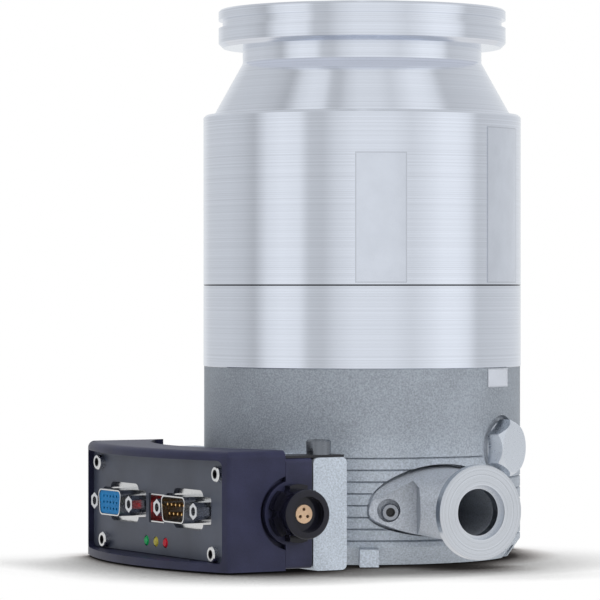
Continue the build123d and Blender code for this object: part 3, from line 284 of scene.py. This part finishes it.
def blasted_gloss(finish, speckle, roughness):
    return finish.limit(speckle, 0.3, 0.7, roughness - 0.08, roughness + 0.08)


def blasted_base(name, colour, grain, roughness):
    """The base casting, with painted light making its slab, feet and ribbed front paler."""
    finish = Finish(name, colour, roughness, 0.75)
    tone, speckle = blasted_grain(finish, grain)
    x, y, z = finish.parts_of(finish.place)
    in_front = finish.mask(x, SLAB_FACE + BLEND, SLAB_FACE - BLEND)
    slab = in_front * finish.mask(z, SLAB_TOP + BLEND, SLAB_TOP - BLEND)
    feet = finish.mask(finish.length(x, y), WALL_RADIUS - BLEND, WALL_RADIUS + BLEND)
    ribs = finish.mask(z, RIBS_TOP, RIBS_FULL) * finish.mask(y, RIBS_START, RIBS_END)
    # painted light: the slab, feet and ribbed front get a paler copy of the skin
    pale = finish.limit(finish.maths("MAXIMUM", slab, feet) + ribs * RIBS_SHARE, 0.0, 1.0)
    finish.put("Base Color", finish.mix(pale, blasted_colour(finish, tone, colour),
                                        blasted_colour(finish, tone, shade(colour, PAINTED_LIGHT_TONE))))
    finish.put("Roughness", blasted_gloss(finish, speckle, roughness))
    finish.bump(speckle, GRAIN_DEPTH, 0.7)
    return finish.material


finishes["cast_base"] = blasted_base("blasted_base", (0.315, 0.345, 0.385), 1700.0, 0.52)
print("base casting: slab in front of x", round(SLAB_FACE, 4), "and feet past", round(WALL_RADIUS, 4))


# %% [markdown]
# The port is one piece with two finishes. Its ear and neck keep the blasted skin, while the small
# flange is turned about the port's own axis. Its tool marks are rings, so they follow the distance
# from that axis, and the skin changes over where the neck meets the flange.

# %% Port casting with a turned flange
PORT_HEIGHT = 17.7 * MM
FLANGE_BACK = -69.8 * MM


def port_casting(name, colour, turned, grain):
    """Blasted casting that is turned bright on the small flange."""
    finish = Finish(name, colour, 0.4, 1.0)
    tone, speckle = blasted_grain(finish, grain)
    x, y, z = finish.parts_of(finish.place)
    from_axis = finish.length(x, z - PORT_HEIGHT)
    rings = finish.tool_marks(from_axis * 2200.0 + y * 2600.0, 2.0, 0.6)
    cuts = finish.tool_marks(from_axis * 14000.0, 0.0)
    turned_face = finish.mix(finish.limit(rings, 0.3, 0.7), shade(turned, 0.84), turned)
    flange = finish.mask(y, FLANGE_BACK + BLEND, FLANGE_BACK - BLEND)
    skin = 1 - flange
    finish.put("Base Color", finish.mix(flange, blasted_colour(finish, tone, colour), turned_face))
    finish.put("Roughness", blasted_gloss(finish, speckle, 0.46) * skin + flange * 0.24)
    finish.put("Metallic", flange * 0.25 + 0.75)
    finish.bump(speckle * skin * 0.9 + (rings * 0.05 + cuts * 0.16) * flange, 0.20 * MM)
    return finish.material


finishes["cast_port"] = port_casting("blasted_port", (0.47, 0.50, 0.55), (0.70, 0.73, 0.78), 1900.0)
print("port casting, turned past y", round(FLANGE_BACK, 4))


# %% [markdown]
# Cap screws are bright metal with a hexagon socket at their middle. The socket is painted black:
# painted shade for the dark inside of the recess. The distance from each screw's axis says where it
# is. The two port screws mirror each other, so the size of x serves both. The panel's four screws look
# straight out along -X.

# %% Socket screws
SOCKET_REACH = 1.42 * MM
SOCKET_EDGE = 0.12 * MM
PORT_SCREW_TURN = math.radians(24.0)
PORT_SCREW = (18.5 * MM, -50.2 * MM, 17.0 * MM)
# side and height of each panel screw
PANEL_SCREWS = [(33.5 * MM, 31.0 * MM), (-49.8 * MM, 30.6 * MM),
                (29.7 * MM, 5.8 * MM), (-46.9 * MM, 5.6 * MM)]


def from_port_screw(finish, x, y, z):
    across = ((finish.maths("ABSOLUTE", x) - PORT_SCREW[0]) * math.cos(PORT_SCREW_TURN)
              + (y - PORT_SCREW[1]) * math.sin(PORT_SCREW_TURN))
    return finish.length(across, z - PORT_SCREW[2])


def from_panel_screw(finish, x, y, z):
    reaches = [finish.length(y - side, z - height) for side, height in PANEL_SCREWS]
    nearest = reaches[0]
    for reach in reaches[1:]:
        nearest = finish.maths("MINIMUM", nearest, reach)
    return nearest


def socket_metal(name, colour, roughness, from_screw):
    """Screw metal with painted shade, black, inside its socket."""
    finish = Finish(name, colour, roughness, 1.0)
    reach = from_screw(finish, *finish.parts_of(finish.place))
    # painted shade: the socket recess is painted black and not metallic
    socket = finish.mask(reach, SOCKET_REACH + SOCKET_EDGE, SOCKET_REACH)
    streak = finish.noise(2400.0, 3.0, 0.6)
    metal = finish.mix(finish.limit(streak, 0.3, 0.7), shade(colour, 0.86), colour)
    finish.put("Base Color", finish.mix(socket, metal, (0.008, 0.008, 0.010)))
    finish.put("Roughness", finish.limit(streak, 0.3, 0.7, roughness - 0.05, roughness + 0.08))
    finish.put("Metallic", 1 - socket)
    return finish.material


PANEL_SCREW_STEEL = (0.80, 0.80, 0.80)
PORT_SCREW_STEEL = (0.36, 0.38, 0.42)
finishes["panel_screws"] = socket_metal("panel_screw_steel", PANEL_SCREW_STEEL, 0.22, from_panel_screw)
finishes["port_screws"] = socket_metal("port_screw_steel", PORT_SCREW_STEEL, 0.28, from_port_screw)
print("socket finishes: 2, with sockets", round(2 * SOCKET_REACH, 5), "across")


# %% [markdown]
# The hood and the panel are painted, the power socket and the inserts moulded, the seals rubber. All
# have a faint mottle and a fine grain, which breaks up the shine and shows as shallow relief. A
# recipe for each would say the same thing many times, so they share one and differ in its numbers.

# %% Paint, plastic and rubber
def coated(name, colour, roughness, grain=2600.0, depth=0.03 * MM, mottle=0.10,
           metallic=0.0, coat=0.0, shine=0.5):
    """A painted or moulded surface with a fine grain."""
    finish = Finish(name, colour, roughness, metallic,
                    Coat_Weight=coat, Coat_Roughness=0.2, Specular_IOR_Level=shine)
    speck = finish.noise(grain, 2.0, 0.6)
    cloud = finish.noise(90.0, 3.0)
    tone = finish.limit(cloud * 0.6 + speck * 0.4, 0.35, 0.65)
    finish.put("Base Color", finish.mix(tone, shade(colour, 1.0 - mottle), shade(colour, 1.0 + mottle)))
    finish.put("Roughness", finish.limit(speck, 0.3, 0.7, roughness - 0.05, roughness + 0.06))
    finish.bump(speck, depth, 0.5)
    return finish.material


finishes["seal_rubber"] = coated("seal_rubber", (0.02, 0.02, 0.02), 0.62)
print("seal rubber, the plainest of them")


# %% [markdown]
# Small machined metal, such as the plug, the connector shells and the rotor, keeps the streaks of
# its last cut. They could be bands on one axis, but these pieces face many ways. Noise that is
# squeezed along one axis and drawn out along the others suits them all.

# %% Brushed small metal
def brushed(name, colour, roughness, stretch=(400.0, 400.0, 3000.0), contrast=0.12):
    """Metal with fine streaks across the squeezed axis."""
    finish = Finish(name, colour, roughness, 1.0)
    streak = finish.noise(1.0, 3.0, 0.6, finish.stretched(*stretch))
    smudge = finish.noise(130.0, 2.0)
    tone = finish.limit(streak * 0.7 + smudge * 0.3, 0.3, 0.7)
    finish.put("Base Color", finish.mix(tone, shade(colour, 1.0 - contrast), colour))
    finish.put("Roughness", finish.limit(streak, 0.3, 0.7, roughness - 0.06, roughness + 0.08))
    finish.bump(streak, 0.02 * MM, 0.4)
    return finish.material


finishes["steel_screws"] = brushed("screw_steel", (0.72, 0.73, 0.76), 0.26)
print("screw steel, the plainest of them")


# %% [markdown]
# The outer pieces come first. The hood and the drive housing have a dark satin paint, while the
# panel's paint has a little metal in it. The power socket is glossy moulded plastic. The plug was
# turned all round, so its streaks are as fine along every axis.

# %% Covers and fittings
covers = {
    "hood_paint": coated("hood_paint", (0.014, 0.015, 0.036), 0.46, depth=0.04 * MM, mottle=0.25, shine=0.25),
    "housing_dark": coated("housing_paint", (0.016, 0.017, 0.038), 0.42, mottle=0.3, shine=0.25),
    "panel_paint": coated("panel_paint", (0.046, 0.054, 0.078), 0.38, 3200.0, mottle=0.22, metallic=0.25),
    "black_plate": coated("black_anodised", (0.012, 0.012, 0.015), 0.36, 3000.0, 0.02 * MM, 0.2, metallic=0.3),
    "socket_black": coated("socket_black", (0.004, 0.004, 0.008), 0.10, depth=0.01 * MM, coat=0.12, shine=0.30),
    "clamp_screw": brushed("dark_steel", (0.21, 0.225, 0.25), 0.20),
    "plug_metal": brushed("plug_aluminium", (0.74, 0.78, 0.84), 0.30, (900.0, 900.0, 900.0), 0.05),
    "washer_metal": brushed("washer_aluminium", (0.76, 0.77, 0.79), 0.34),
}
finishes.update(covers)
print("covers and fittings:", len(covers))


# %% [markdown]
# The connector panel has the only strong colours. Its inserts and lamp windows are plain moulded
# plastic. A clear lamp would need glass and a light behind it, but these are switched off, so
# a coloured satin plastic is enough. The shells are tin plate and the pins are gold.

# %% The connector panel
panel_pieces = {
    "connector_metal": brushed("tin_plate", (0.78, 0.78, 0.78), 0.20),
    "pin_gold": brushed("pin_gold", (0.95, 0.58, 0.22), 0.22),
    "insert_blue": coated("insert_blue", (0.003, 0.125, 0.31), 0.42, shine=0.12),
    "insert_black": coated("insert_black", (0.016, 0.008, 0.006), 0.30),
    "insert_red": coated("insert_red", (0.42, 0.006, 0.010), 0.35),
    "insert_beige": coated("insert_beige", (0.40, 0.27, 0.17), 0.45),
    "lamp_green": coated("lamp_green", (0.003, 0.27, 0.075), 0.30, shine=0.12),
    "lamp_yellow": coated("lamp_yellow", (0.38, 0.33, 0.050), 0.30, shine=0.12),
    "lamp_red": coated("lamp_red", (0.46, 0.003, 0.018), 0.30, shine=0.12),
}
finishes.update(panel_pieces)
print("panel finishes:", len(panel_pieces))


# %% [markdown]
# The inner pieces show when the pump is taken apart. The rotor is milled from one block, so its
# streaks are drawn out along its height. The drum is fibre wound in resin. The motor core is a stack
# of thin sheets, which could be modelled one by one, but noise squeezed along its height shows them.

# %% Inside the pump
inner_pieces = {
    "star_metal": brushed("star_aluminium", (0.70, 0.72, 0.76), 0.30),
    "rotor_metal": brushed("milled_rotor", (0.72, 0.75, 0.80), 0.27, (2200.0, 2200.0, 500.0)),
    "drum_composite": coated("wound_composite", (0.02, 0.02, 0.024), 0.30, 900.0, 0.04 * MM, 0.3, coat=0.4),
    "shaft_steel": brushed("ground_steel", (0.62, 0.63, 0.66), 0.18),
    "magnet_rings": brushed("plated_magnet", (0.60, 0.60, 0.63), 0.20),
    "core_steel": brushed("laminated_core", (0.30, 0.30, 0.32), 0.42, (60.0, 60.0, 4000.0), 0.3),
    "winding_copper": brushed("winding_copper", (0.66, 0.27, 0.12), 0.34),
    "cage_plastic": coated("cage_resin", (0.42, 0.33, 0.20), 0.5),
    "ball_ceramic": coated("ball_ceramic", (0.03, 0.03, 0.035), 0.12),
    "board_green": coated("board_green", (0.012, 0.09, 0.04), 0.4),
    "capacitor_can": brushed("capacitor_can", (0.45, 0.46, 0.48), 0.3),
}
finishes.update(inner_pieces)
print("inner finishes:", len(inner_pieces), "of", len(finishes))


# %% [markdown]
# Each piece now gets its finish. The record names a material for every piece, and that is right for
# most of them. A few pieces share a material in the record but look different on the real pump, so
# they are named here one by one. Only the materials change, and the shapes stay as they are.

# %% A finish for each piece
finish_of_piece = {
    "inlet_housing": "turned_upper",
    "drag_housing_ring": "turned_ring",
    "foreline_port": "cast_port",
    "clamp_screw": "clamp_screw",
    "panel_screws": "panel_screws",
    "port_screws": "port_screws",
    "purge_plug": "plug_metal",
    "power_socket": "socket_black",
    "socket_nut": "socket_black",
}
for subpart in frame["record"]["subparts"]:
    piece = frame["nodes"][subpart["node"]]
    chosen = finish_of_piece.get(subpart["node"], subpart["material_slot"])
    piece.data.materials.clear()
    piece.data.materials.append(finishes[chosen])


# %% [markdown]
# Thin foil plates sit on the round walls. Satin foil is slightly darker at its rim, where it is
# pressed down. The rim could be a mesh of its own, but it is only a tone, so the finish works out
# how near each point is to the plate's sides and ends.

# %% Foil finish
RIM = 0.5 * MM
RIM_INNER = 0.3 * MM


def foil_finish(name, colour, metallic, middle_turn, radius, half_width, low, high):
    """Satin foil with a darker rim, placed by its bearing and height on a round wall."""
    finish = Finish(name, colour, 0.3, metallic)
    x, y, z = finish.parts_of(finish.place)
    bearing = finish.maths("ARCTAN2", x, 0 - y)
    from_side = half_width - finish.maths("ABSOLUTE", bearing - middle_turn) * radius
    from_end = finish.maths("MINIMUM", z - low, high - z)
    rim = finish.mask(finish.maths("MINIMUM", from_side, from_end), RIM, RIM_INNER)
    cloud = finish.noise(140.0, 3.0)
    body = finish.mix(finish.limit(cloud, 0.35, 0.65), shade(colour, 0.94), colour)
    finish.put("Base Color", finish.mix(rim, body, shade(colour, 0.80)))
    finish.put("Roughness", finish.limit(cloud, 0.3, 0.7, 0.16, 0.24))
    return finish.material


print("foil rim", RIM, "m wide")


# %% [markdown]
# A foil plate is a flat strip bent round the wall. It could be bent with a modifier, but a spin hugs
# the wall exactly. The plate starts as one upright edge at the radius of the wall, which a spin
# about the pump axis draws out into a curved sheet. Seen from above, a spin turns clockwise and the
# plate's angles run the other way, so the spin's angle has its sign turned round. Solidify then
# gives the foil its thickness, outwards only, so the sheet has to face outwards first.

# %% Bending a foil plate
FOIL_THICKNESS = 0.12 * MM
SPIN_STEPS = 24
DOUBLES = 0.001 * MM


def foil_plate(name, start, end, low, high, radius, material):
    """A curved foil between two angles from -Y, standing on a wall of this radius."""
    bpy.ops.object.select_all(action="DESELECT")
    bpy.ops.mesh.primitive_plane_add(size=1.0, location=(0.0, 0.0, 0.0))
    plate = bpy.context.object
    plate.name = name
    corners = plate.data.vertices
    for index, height in ((0, low), (1, high)):
        corners[index].co = (math.sin(start) * radius, -math.cos(start) * radius, height)
    bpy.ops.object.mode_set(mode="EDIT")
    bpy.ops.mesh.select_mode(type="VERT")
    bpy.ops.mesh.select_all(action="DESELECT")
    bpy.ops.object.mode_set(mode="OBJECT")
    for index in (2, 3):
        corners[index].select = True
    bpy.ops.object.mode_set(mode="EDIT")
    bpy.ops.mesh.delete(type="VERT")
    bpy.ops.mesh.select_all(action="SELECT")
    bpy.ops.mesh.spin(steps=SPIN_STEPS, angle=start - end,
                      center=(0.0, 0.0, 0.0), axis=(0.0, 0.0, 1.0))
    bpy.ops.mesh.select_all(action="SELECT")
    bpy.ops.mesh.remove_doubles(threshold=DOUBLES)
    bpy.ops.object.mode_set(mode="OBJECT")
    face = plate.data.polygons[0]
    if face.normal.x * face.center.x + face.normal.y * face.center.y < 0.0:
        plate.data.flip_normals()
    foil = plate.modifiers.new("foil", "SOLIDIFY")
    foil.thickness = FOIL_THICKNESS
    foil.offset = 1.0
    bpy.ops.object.modifier_apply(modifier="foil")
    bpy.ops.object.shade_smooth_by_angle(angle=math.radians(30.0))
    plate.data.materials.append(material)
    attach(plate, "pump_body")
    print(name, "faces", len(plate.data.polygons))


# %% [markdown]
# There are three plates: two tall ones on the turned body and a small pale one on the casting, above
# the plug. They carry no words here. Angles run from -Y towards +X, and heights from the base.

# %% Blank plates
WALL = 52.5
BASE_WALL = 52.3
FOIL_GAP = 0.01
METAL_FOIL = (0.76, 0.79, 0.86)
PALE_FOIL = (0.36, 0.38, 0.42)
# name, start and end in degrees, low, high and wall radius in millimetres, colour, metallic
plates = [("front_plate", -32.4, -14.2, 89.9, 131.6, WALL, METAL_FOIL, 1.0),
          ("side_plate", 20.2, 43.0, 89.9, 140.4, WALL, METAL_FOIL, 1.0),
          ("plug_plate", 20.9, 34.7, 56.2, 62.2, BASE_WALL, PALE_FOIL, 0.0)]
for name, start, end, low, high, radius, colour, metallic in plates:
    middle = math.radians(0.5 * (start + end))
    half_width = math.radians(0.5 * (end - start)) * radius * MM
    material = foil_finish(name + "_foil", colour, metallic, middle, WALL * MM,
                           half_width, low * MM, high * MM)
    foil_plate(name, math.radians(start), math.radians(end), low * MM, high * MM,
               (radius + FOIL_GAP) * MM, material)


# %% [markdown]
# The camera stands level with the middle of the pump, 1.26 m away, thirty degrees round towards
# the connector panel. A wide lens close by would make the top flange bulge, so a long lens from far
# away keeps the upright edges almost parallel. Its line of sight passes a little left of the
# pump's axis and slopes down slightly.

# %% Camera
CAMERA_AZIMUTH = math.radians(-30.0)
CAMERA_DISTANCE = 1.256
CAMERA_HEIGHT = 0.0892
CAMERA_LENS = 227.4
SIGHT_LEFT = math.radians(0.93721)
SIGHT_DOWN = math.radians(0.22676)
camera_data = bpy.data.cameras.new("camera")
camera = bpy.data.objects.new("camera", camera_data)
bpy.context.scene.collection.objects.link(camera)
camera.location = (math.sin(CAMERA_AZIMUTH) * CAMERA_DISTANCE,
                   -math.cos(CAMERA_AZIMUTH) * CAMERA_DISTANCE, CAMERA_HEIGHT)
heading = -CAMERA_AZIMUTH - SIGHT_LEFT
sight = Vector((math.sin(heading) * math.cos(SIGHT_DOWN), math.cos(heading) * math.cos(SIGHT_DOWN),
                -math.sin(SIGHT_DOWN)))
camera.rotation_mode = "QUATERNION"
camera.rotation_quaternion = sight.to_track_quat("-Z", "Y")
camera_data.sensor_width = 36.0
camera_data.lens = CAMERA_LENS
camera_data.clip_start = 0.05
camera_data.clip_end = 20.0
bpy.context.scene.camera = camera
print("camera at", [round(v, 3) for v in camera.location], "lens", round(camera_data.lens, 1), "mm")


# %% [markdown]
# Turned metal shows the room more than itself. The room could be built from real panels, but a ramp
# on the compass direction of each mirrored ray is easier to tune. The room is brightest to each
# side, nearly as bright in the middle, darker in narrow bands between them, and dimmer beyond the
# sides. The body then shows these as upright bands.

# %% The room as bands
scene = bpy.context.scene
scene.view_settings.view_transform = "Standard"
world = bpy.data.worlds.new("studio")
scene.world = world
world.use_nodes = True
world.node_tree.nodes.clear()
studio = NodeWriter(world.node_tree)
ROOM_AZIMUTH = math.radians(-30.0)
ROOM_TINT = (0.95, 0.975, 1.0)
# bearing in degrees from the middle of the room's front, and how bright the room is there
ROOM_BANDS = [(-180, 0.88), (-160, 0.83), (-144, 0.71), (-112, 0.71), (-96, 0.66), (-84, 0.56),
              (-72, 0.88), (-60, 0.96), (-46, 0.92), (-38, 0.66), (-28, 0.64), (-18, 0.80),
              (-6, 0.90), (4, 0.90), (20, 0.89), (36, 0.80), (46, 0.88), (60, 1.0), (72, 1.0),
              (82, 0.92), (92, 0.66), (104, 0.69), (128, 0.74), (146, 0.78), (162, 0.83), (180, 0.88)]
print("room bands", len(ROOM_BANDS))


# %% [markdown]
# The bearing is the arctangent of the ray's two level parts, measured from the middle of the
# room's front. A Gradient texture has a radial setting that could do this too, but the sum says
# plainly where its seam lies: behind the pump, where both ends of the ramp have the same tone.

# %% The mirrored room
direction = studio.node("ShaderNodeTexCoord", {}, {}, "Generated")
turned_direction = studio.node("ShaderNodeVectorRotate", {"rotation_type": "Z_AXIS"},
                               {"Vector": direction, "Angle": -ROOM_AZIMUTH})
across, away, up = studio.parts_of(turned_direction)
bearing = studio.maths("ARCTAN2", across, away * -1.0)
share = studio.limit(bearing, -math.pi, math.pi)
stops = [((degrees + 180.0) / 360.0, shade(ROOM_TINT, level)) for degrees, level in ROOM_BANDS]
bands = studio.node("ShaderNodeValToRGB", {"stops": stops}, {0: share})
overhead = studio.limit(up, 0.15, 0.75, 1.0, 0.94)
room = studio.node("ShaderNodeBackground", {}, {"Color": bands, "Strength": overhead})
print("room nodes", len(world.node_tree.nodes))


# %% [markdown]
# The backdrop is plain white for the camera and through clear things. For matt surfaces the world is
# a quiet fill light, so that pale pieces don't wash out.

# %% The white backdrop
FILL_STRENGTH = 0.55
FILL_TINT = (0.95, 0.97, 1.0, 1.0)
fill = studio.node("ShaderNodeBackground", {}, {"Color": FILL_TINT, "Strength": FILL_STRENGTH})
white = studio.node("ShaderNodeBackground", {}, {"Color": (1.0, 1.0, 1.0, 1.0), "Strength": 1.0})
backdrop = fill
for ray, shown in (("Is Glossy Ray", room), ("Is Camera Ray", white), ("Is Transmission Ray", white)):
    chosen_ray = studio.node("ShaderNodeLightPath", {}, {}, ray)
    backdrop = studio.node("ShaderNodeMixShader", {}, {0: chosen_ray, 1: backdrop, 2: shown})
studio.node("ShaderNodeOutputWorld", {}, {"Surface": backdrop})
print("world nodes", len(world.node_tree.nodes))


# %% [markdown]
# Paint, plastic and the matt part of the castings need lamps to give them form. One hard lamp would
# leave black shadows, so four soft ones share the work: a tall panel on each side, a broad one
# overhead and one in front, to the right. Metal mirrors the room instead, so the lamps are hidden
# from mirrored rays and leave no square glints.

# %% Lamps
LAMP_TARGET = Vector((0.0, 0.0, 0.08))


def soft_lamp(name, azimuth, height, distance, width, tall, power, tint):
    """A rectangular lamp that faces the middle of the pump; azimuth is from the camera's side."""
    data = bpy.data.lights.new(name, "AREA")
    data.shape = "RECTANGLE"
    data.size = width
    data.size_y = tall
    data.energy = power
    data.color = tint
    lamp = bpy.data.objects.new(name, data)
    scene.collection.objects.link(lamp)
    angle = CAMERA_AZIMUTH + math.radians(azimuth)
    lamp.location = (math.sin(angle) * distance, -math.cos(angle) * distance, height)
    lamp.rotation_mode = "QUATERNION"
    lamp.rotation_quaternion = (LAMP_TARGET - lamp.location).to_track_quat("-Z", "Y")
    lamp.visible_camera = False
    lamp.visible_glossy = False
    print(name, power, "W at", [round(v, 2) for v in lamp.location])


COOL_WHITE = (0.97, 0.98, 1.0)
PLAIN_WHITE = (1.0, 1.0, 1.0)
soft_lamp("panel_left", -62.0, 0.35, 1.1, 0.6, 1.0, 3.5, COOL_WHITE)
soft_lamp("panel_right", 60.0, 0.35, 1.1, 0.6, 1.0, 4.0, COOL_WHITE)
soft_lamp("overhead", 0.0, 1.2, 0.55, 0.6, 0.6, 13.0, PLAIN_WHITE)
soft_lamp("front", 36.0, 0.50, 1.3, 0.5, 0.5, 8.0, PLAIN_WHITE)


# %% [markdown]
# The table is a round white sheet just under the base. It could take its shadow from the lamps, but
# a white sheet under lamps turns grey at its far end. So for the camera it shines as white as the
# backdrop, and is darkened only where the pump closes off the sky: closely all round, and more
# widely in front, away from an open sky at the back. Metal mirrors plain pale paper, and for every
# other ray the sheet is lit as paper is, so it still lights the pump from below.

# %% Floor
FLOOR_RADIUS = 0.55
FLOOR_DROP = 0.2 * MM
OPEN_SKY_AZIMUTH = math.radians(150.0)
OPEN_SKY_TILT = math.radians(80.0)
NEAR_REACH = 0.015
FAR_REACH = 0.05
PAPER_GREY = (0.90, 0.90, 0.90, 1.0)
CONTACT_STOPS = [(0.0, (0.03, 0.03, 0.03)), (0.45, (0.16, 0.145, 0.14)),
                 (0.78, (0.66, 0.64, 0.63)), (0.93, (0.93, 0.92, 0.915)), (1.0, (1.0, 1.0, 1.0))]
bpy.ops.object.select_all(action="DESELECT")
bpy.ops.mesh.primitive_circle_add(vertices=96, radius=FLOOR_RADIUS, fill_type="NGON",
                                  location=(0.0, 0.0, cad_low.z - FLOOR_DROP))
floor = bpy.context.object
floor.name = "floor"
paper = Finish("floor_paper", (0.86, 0.85, 0.83), 0.9)
level = math.sin(OPEN_SKY_TILT)
open_sky = paper.node("ShaderNodeCombineXYZ", {}, {0: math.sin(OPEN_SKY_AZIMUTH) * level,
                                                   1: -math.cos(OPEN_SKY_AZIMUTH) * level,
                                                   2: math.cos(OPEN_SKY_TILT)})
near_sky = paper.node("ShaderNodeAmbientOcclusion", {"samples": 8}, {"Distance": NEAR_REACH}, "AO")
far_sky = paper.node("ShaderNodeAmbientOcclusion", {"samples": 8},
                     {"Distance": FAR_REACH, "Normal": open_sky}, "AO")
contact = paper.node("ShaderNodeValToRGB", {"stops": CONTACT_STOPS}, {0: near_sky})
thrown = paper.limit(far_sky, 0.58, 0.99, 0.12, 1.0)
glow = paper.node("ShaderNodeEmission", {}, {"Color": contact, "Strength": thrown})
mirrored_paper = paper.node("ShaderNodeEmission", {}, {"Color": PAPER_GREY, "Strength": 0.9})
print("shadow reaches", NEAR_REACH, "and", FAR_REACH)


# %% [markdown]
# The sheet answers each kind of ray in its own way. It could be three sheets that take turns, but
# one material that mixes by Light Path is simpler, and can't show two of them at once.

# %% The sheet for each ray
surface = Varying(paper, paper.shader.outputs[0])
for ray, shown in (("Is Glossy Ray", mirrored_paper), ("Is Camera Ray", glow)):
    chosen_ray = paper.node("ShaderNodeLightPath", {}, {}, ray)
    surface = paper.node("ShaderNodeMixShader", {}, {0: chosen_ray, 1: surface, 2: shown})
paper.tree.links.new(surface.socket, paper.tree.nodes["Material Output"].inputs["Surface"])
floor.data.materials.append(paper.material)
floor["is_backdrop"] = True
print("floor", round(2 * FLOOR_RADIUS, 2), "m across, at", round(floor.location.z, 4))


# %% [markdown]
# The dressed pump has to keep its real size. The box round everything is measured once more and
# printed, as the box of the bare frame was at the start.

# %% Measure and finish
low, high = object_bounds()
print("visual box", [round(v, 4) for v in low], [round(v, 4) for v in high])
